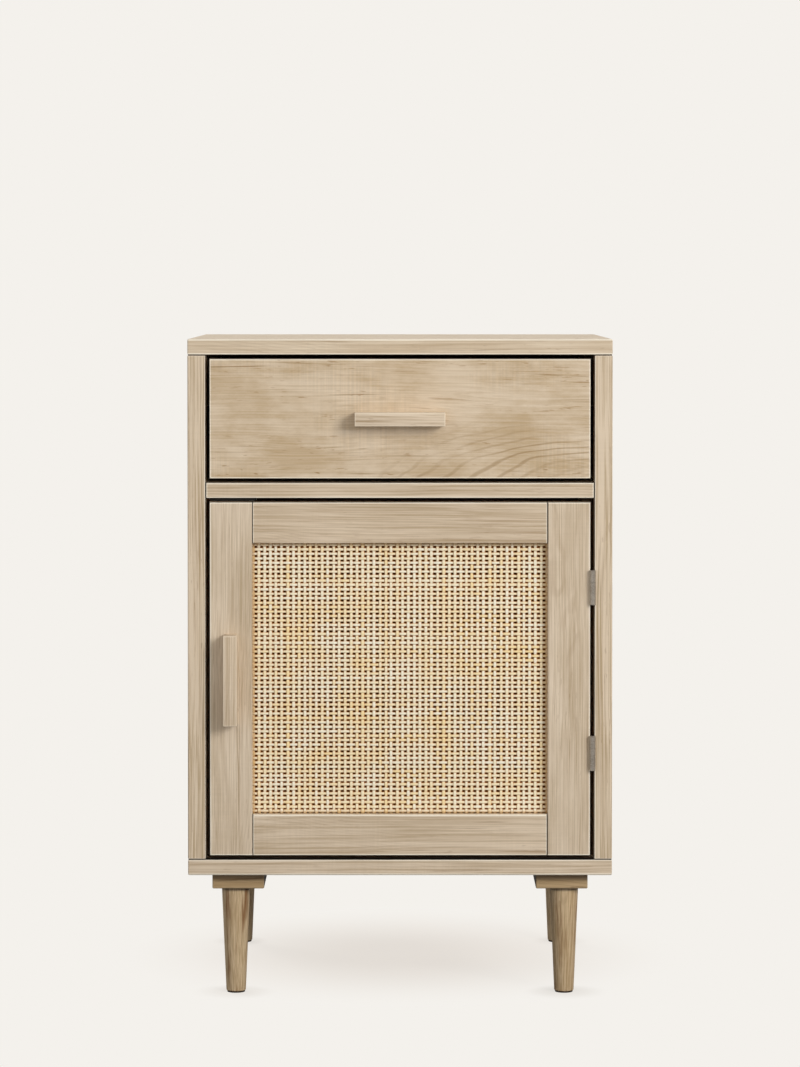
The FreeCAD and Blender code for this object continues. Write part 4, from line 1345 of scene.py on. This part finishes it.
@dataclass
class Legs:
    """Turned legs that taper to the foot, with felt pads under them."""

    foot_radius: float = 0.00925
    top_radius: float = 0.0135
    foot_round: float = 0.0009
    foot_steps: int = 4
    foot_flat_share: float = 0.6
    top_flat_share: float = 0.5
    rings: int = 8
    segments: int = 72
    sharp: float = 50.0
    top_shade: Span = (0.004, 0.6)
    first_seed: int = 41
    seed_step: int = 3
    felt_round: float = 0.0004
    felt_steps: int = 3
    felt_segments: int = 40
    nodes: tuple[str, ...] = ("front_left_leg", "front_right_leg", "rear_left_leg", "rear_right_leg")

    def leg(self, node: str, seed: int) -> bpy.types.Object:
        """Turns one leg.

        Args:
            node: Leg that it stands for.
            seed: Number of its figure.

        Returns:
            The leg.
        """
        low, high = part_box(node)
        length = high[Z] - low[Z]
        profile = [(0.0, 0.0), (self.foot_radius * self.foot_flat_share, 0.0)]
        profile += rounded(self.foot_radius, 0.0, 1, self.foot_round, self.foot_steps)
        for number in range(1, self.rings + 1):
            share = number / self.rings
            profile.append((self.foot_radius + (self.top_radius - self.foot_radius) * share, length * share))
        profile += [(self.top_radius * self.top_flat_share, length), (0.0, length)]
        form = bmesh.new()
        turn(form, profile, underside(low, high), self.segments)
        # Painted shade at the top of the leg, under the runner.
        material = Finishes.LEG.material(node, Grain.UPRIGHT, seed, (Seam(Z, high[Z], *self.top_shade),))
        return settle(model(f"turned_{node}", form, material, self.sharp), "cabinet", "leg_wood", node)

    def felts(self) -> bpy.types.Object:
        """Makes the felt pads under the feet."""
        form = bmesh.new()
        for low, high in islands("foot_pads"):
            radius = (high.x - low.x) / 2
            tall = high.z - low.z
            foot = rounded(radius, 0.0, 1, self.felt_round, self.felt_steps)
            rim = rounded(radius, tall, -1, self.felt_round, self.felt_steps)
            profile = [(0.0, 0.0), *foot, *rim, (0.0, tall)]
            turn(form, profile, underside(low, high), self.felt_segments)
        piece = model("foot_felts", form, Finishes.FELT.material())
        return settle(piece, "cabinet", "foot_felt", "foot_pads")

    def build(self) -> list[bpy.types.Object]:
        """Makes the legs, pads and the bolts inside."""
        legs = [self.leg(node, self.first_seed + self.seed_step * k) for k, node in enumerate(self.nodes)]
        return legs + [self.felts(), paint("leg_hanger_bolts", Finishes.ZINC.material())]


@dataclass
class Pulls:
    """Wooden bars with sanded edges on the drawer and the door."""

    edge: float = 0.0006
    steps: int = 3
    sharp: float = 35.0
    first_seed: int = 61
    bars: tuple[tuple[str, str, Grain], ...] = (
        ("drawer_pull", "drawer", Grain.ACROSS), ("door_pull", "door", Grain.UPRIGHT),
    )

    def bar(self, node: str, body: str, grain: Grain, seed: int) -> bpy.types.Object:
        """Makes one bar.

        Args:
            node: Pull that it stands for.
            body: Body that it moves with.
            grain: Direction of its fibres.
            seed: Number of its figure.

        Returns:
            The bar.
        """
        low, high = (Vector(corner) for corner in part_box(node))
        form = bmesh.new()
        bmesh.ops.create_cube(form, size=1.0)
        for vert in form.verts:
            for axis in range(3):
                vert.co[axis] = high[axis] if vert.co[axis] > 0 else low[axis]
        rest = high.y - MERGE_DISTANCE
        free = [edge for edge in form.edges if not all(v.co.y > rest for v in edge.verts)]
        bmesh.ops.bevel(form, geom=free, offset=self.edge, segments=self.steps, profile=0.5, affect="EDGES")
        material = Finishes.BAR.material(node, grain, seed, box=(low, high))
        return settle(model(f"{node}_bar", form, material, self.sharp), body, "pale_wood", node)

    def build(self) -> list[bpy.types.Object]:
        """Makes both bars."""
        return [self.bar(*spec, self.first_seed + number) for number, spec in enumerate(self.bars)]


@dataclass(frozen=True)
class StrandKind:
    """The cane strands of one direction."""

    node: str
    name: str
    material: str
    grain: Grain
    pitch: float
    width: float
    stray: float
    turned: float
    seed: int


@dataclass
class Cane:
    """Open square weave of cane in the door."""

    upright: StrandKind = StrandKind(
        "cane_uprights", "woven_uprights", "upright_cane", Grain.UPRIGHT, 0.00545, 0.00345, 0.0004, 0.0, 3
    )
    cross: StrandKind = StrandKind(
        "cane_crosses", "woven_crosses", "cross_cane", Grain.ACROSS, 0.0042, 0.003, 0.0002, QUARTER_TURN, 4
    )
    thickness: float = 0.00076
    rise: float = 0.0003
    bulge: float = 0.14
    uneven: float = 0.1
    weave: WovenStrands = field(default_factory=WovenStrands)

    def strands(self, kind: StrandKind, crossed: StrandKind) -> bpy.types.Object:
        """Weaves the strands of one direction.

        Args:
            kind: The strands.
            crossed: The strands that they cross.

        Returns:
            The strands as one piece.
        """
        front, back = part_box("cane_uprights"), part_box("cane_crosses")
        left, right = stile_edges()
        opening = (
            Vector((left, front[0][1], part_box("door_bottom_rail")[1][2])),
            Vector((right, back[1][1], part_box("door_top_rail")[0][2])),
        )
        middle = Vector((front[0][0] + front[1][0], front[0][1] + back[1][1], back[0][2] + back[1][2])) / 2
        material = Finishes.CANE.material(kind.material, kind.grain, kind.pitch, opening)
        piece = self.weave.grow(kind.name, {
            "Strands": len(islands(kind.node)), "Strand Pitch": kind.pitch,
            "Crossings": len(islands(crossed.node)), "Crossing Pitch": crossed.pitch,
            "Width": kind.width, "Thickness": self.thickness, "Rise": self.rise, "Stray": kind.stray,
            "Uneven": self.uneven, "Bulge": self.bulge, "Turn": kind.turned, "Middle": middle,
            "Seed": kind.seed, "Material": material,
        })
        return settle(piece, "door", "cane", kind.node)

    def build(self) -> list[bpy.types.Object]:
        """Weaves the strands of both directions."""
        return [self.strands(self.upright, self.cross), self.strands(self.cross, self.upright)]


@dataclass
class Slides:
    """Ball slides: rolled rails and cages as they are, and round balls."""

    scatter: Scatter
    rails: tuple[str, ...] = (
        "left_cabinet_rail", "right_cabinet_rail", "left_drawer_rail", "right_drawer_rail",
        "left_ball_cage", "right_ball_cage",
    )
    ball_steps: int = 3
    ball_seed: int = 5

    def build(self) -> list[bpy.types.Object]:
        """Paints the rails and sets the balls in their cages."""
        steel = Finishes.SLIDE.material()
        pieces = [paint(node, steel, smooth=True) for node in self.rails]
        boxes = islands("slide_balls")
        form = bmesh.new()
        radius = max(boxes[0][1] - boxes[0][0]) / 2
        bmesh.ops.create_icosphere(form, subdivisions=self.ball_steps, radius=radius)
        spots = [((low + high) / 2, Vector((0, 0, 1))) for low, high in boxes]
        ball, material = mesh_of("ball", form), Finishes.BALL.material()
        balls = self.scatter.grow("round_balls", ball, spots, material, self.ball_seed)
        return pieces + [settle(balls, "ball_cages", "ball_steel", "slide_balls")]


@dataclass
class Ironwork:
    """Butt hinges and the magnetic catch."""

    hinges: tuple[str, ...] = (
        "upper_hinge_cabinet_leaf", "lower_hinge_cabinet_leaf", "upper_hinge_door_leaf",
        "lower_hinge_door_leaf", "upper_hinge_pin", "lower_hinge_pin",
    )
    catch: tuple[tuple[str, GranularFinish | SteelFinish], ...] = (
        ("catch_housing", Finishes.PLASTIC), ("catch_magnet", Finishes.MAGNET),
        ("catch_strike_plate", Finishes.SCREW),
    )

    def build(self) -> list[bpy.types.Object]:
        """Paints the hinges and the catch."""
        nickel = Finishes.HINGE.material()
        pieces = [paint(node, nickel, smooth=True) for node in self.hinges]
        return pieces + [paint(node, finish.material()) for node, finish in self.catch]


@dataclass(frozen=True)
class Lamp:
    """A soft square lamp that stays out of glossy reflections."""

    name: str
    place: Triple
    size: float
    power: float
    colour: Triple = (1.0, 0.99, 0.97)

    def hang(self, aim: Triple) -> None:
        """Hangs the lamp so that it faces a point.

        Args:
            aim: The point.
        """
        data = bpy.data.lights.new(self.name, "AREA")
        data.size = self.size
        data.energy = self.power
        data.color = self.colour
        lamp = bpy.data.objects.new(self.name, data)
        lamp.location = self.place
        lamp.visible_glossy = False
        lamp.rotation_euler = (Vector(aim) - Vector(self.place)).to_track_quat("-Z", "Y").to_euler()
        bpy.context.scene.collection.objects.link(lamp)


@dataclass
class Studio:
    """Pale floor, soft light and the camera."""

    backdrop: Colour = srgb(244, 241, 236)
    ambient: float = 0.86
    rear_ambient: float = 0.42
    rear_fade: Span = (-0.6, 0.3)
    zenith: float = 0.34
    zenith_fade: Span = (0.2, 0.9)
    shine: float = 1.42
    lamps: tuple[Lamp, ...] = (
        Lamp("key", (2.4, -3.4, 1.75), 1.4, 91.0), Lamp("above", (0.0, -0.3, 2.6), 1.8, 4.0),
        Lamp("behind", (-2.2, 3.2, 1.9), 1.8, 70.0, (1.0, 0.99, 0.975)),
    )
    aim: Triple = (0.0, 0.0, 0.35)
    floor_half: float = 30.0
    floor_matt: Colour = (0.95, 0.88, 0.81, 1.0)
    floor_share: float = 0.24
    floor_fade: Span = (0.04, 0.29)
    # Colour of the painted shadow in the floor's glow.
    shade: Colour = srgb(244, 238, 231)
    shade_place: Triple = (0.0, 0.08, 0.0)
    foot_share: float = 0.22
    foot_fade: Span = (0.01, 0.045)
    bounce: float = 0.4
    shaded_bounce: float = 0.02
    bounce_fade: Span = (0.3, 0.6)
    camera_place: Triple = (0.0, -3.8918, 0.6743)
    camera_tilt: float = 1.6
    lens: float = 133.769
    sensor: float = 36.0
    shift: float = -0.1306
    sight: float = 200.0

    def floor(self) -> bpy.types.Object:
        """Lays the floor, which takes soft cast shadows near the nightstand, has a painted shadow tint in its
        glow there, and fades into the backdrop.
        """
        surface = Surface("pale_floor")

        def distance(place: Sequence[float]) -> Wire:
            """Measures the distance from a place on the floor."""
            inputs = {0: surface.place, 1: place}
            return surface.wire("ShaderNodeVectorMath", inputs, "Value", operation="DISTANCE")

        away = distance(self.shade_place)
        share = away.ranged(*self.floor_fade, self.floor_share, 0.0)
        for node in Legs.nodes:
            foot = underside(*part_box(node))
            near = distance((foot.x, foot.y, 0.0))
            share = share.higher(near.ranged(*self.foot_fade, self.foot_share, 0.0))
        seen = surface.wire("ShaderNodeLightPath", output="Is Camera Ray")
        level = seen.higher(away.ranged(*self.bounce_fade, self.shaded_bounce, self.bounce))
        # Painted shadow: the floor's glow turns darker and warmer near the nightstand.
        shadow_tint = surface.tint(away.ranged(*self.floor_fade, 1.0, 0.0), self.backdrop, self.shade)
        glow = surface.wire("ShaderNodeEmission", {"Color": shadow_tint, "Strength": level})
        matt = surface.wire("ShaderNodeBsdfDiffuse", {"Color": self.floor_matt})
        mixed = surface.wire("ShaderNodeMixShader", {0: share, 1: glow, 2: matt})
        surface.feed(surface.output, {"Surface": mixed})
        form = bmesh.new()
        half = self.floor_half
        corners = ((-half, -half), (half, -half), (half, half), (-half, half))
        form.faces.new([form.verts.new((*corner, 0.0)) for corner in corners])
        piece = model("floor", form, surface.material)
        return piece

    def world(self) -> None:
        """Lights everything softly from all round and shows the plain backdrop."""
        world = bpy.data.worlds.new("backdrop")
        bpy.context.scene.world = world
        world.use_nodes = True
        graph = Graph(world.node_tree)
        graph.tree.nodes.clear()
        axes = graph.split(graph.wire("ShaderNodeTexCoord", output="Generated"))
        level = axes[Y].ranged(*self.rear_fade, self.ambient, self.rear_ambient)
        soft = level * axes[Z].ranged(*self.zenith_fade, 1.0, self.zenith)
        glossy = graph.wire("ShaderNodeLightPath", output="Is Glossy Ray")
        seen = graph.wire("ShaderNodeLightPath", output="Is Camera Ray")
        level = seen.higher((glossy * self.shine).higher(soft))
        sky = graph.wire("ShaderNodeBackground", {"Color": self.backdrop, "Strength": level})
        graph.add("ShaderNodeOutputWorld", {"Surface": sky})

    def camera(self) -> None:
        """Sets up the camera."""
        data = bpy.data.cameras.new("camera")
        data.sensor_width = self.sensor
        data.lens = self.lens
        data.shift_y = self.shift
        data.clip_end = self.sight
        camera = bpy.data.objects.new("camera", data)
        camera.location = self.camera_place
        camera.rotation_euler = (QUARTER_TURN - math.radians(self.camera_tilt), 0.0, 0.0)
        bpy.context.scene.collection.objects.link(camera)
        bpy.context.scene.camera = camera

    def build(self) -> list[bpy.types.Object]:
        """Makes the whole studio."""
        bpy.context.scene.view_settings.view_transform = "Standard"
        self.world()
        self.camera()
        for lamp in self.lamps:
            lamp.hang(self.aim)
        return [self.floor()]


def report(title: str, pieces: Iterable[bpy.types.Object]) -> None:
    """Logs the pieces of one sub-assembly."""
    for piece in pieces:
        LOG.info("%s: %s", title, piece.name)


def main() -> None:
    """Builds the sub-assemblies in order."""
    logging.basicConfig(level=logging.INFO, format="%(message)s")
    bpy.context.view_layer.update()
    scatter = Scatter()
    report("boards", Boards().build())
    report("legs", Legs().build())
    report("pulls", Pulls().build())
    report("cane", Cane().build())
    report("slides", Slides(scatter).build())
    report("ironwork", Ironwork().build())
    report("screws", Screws(scatter).build())
    report("studio", Studio().build())


if __name__ == "__main__":
    main()
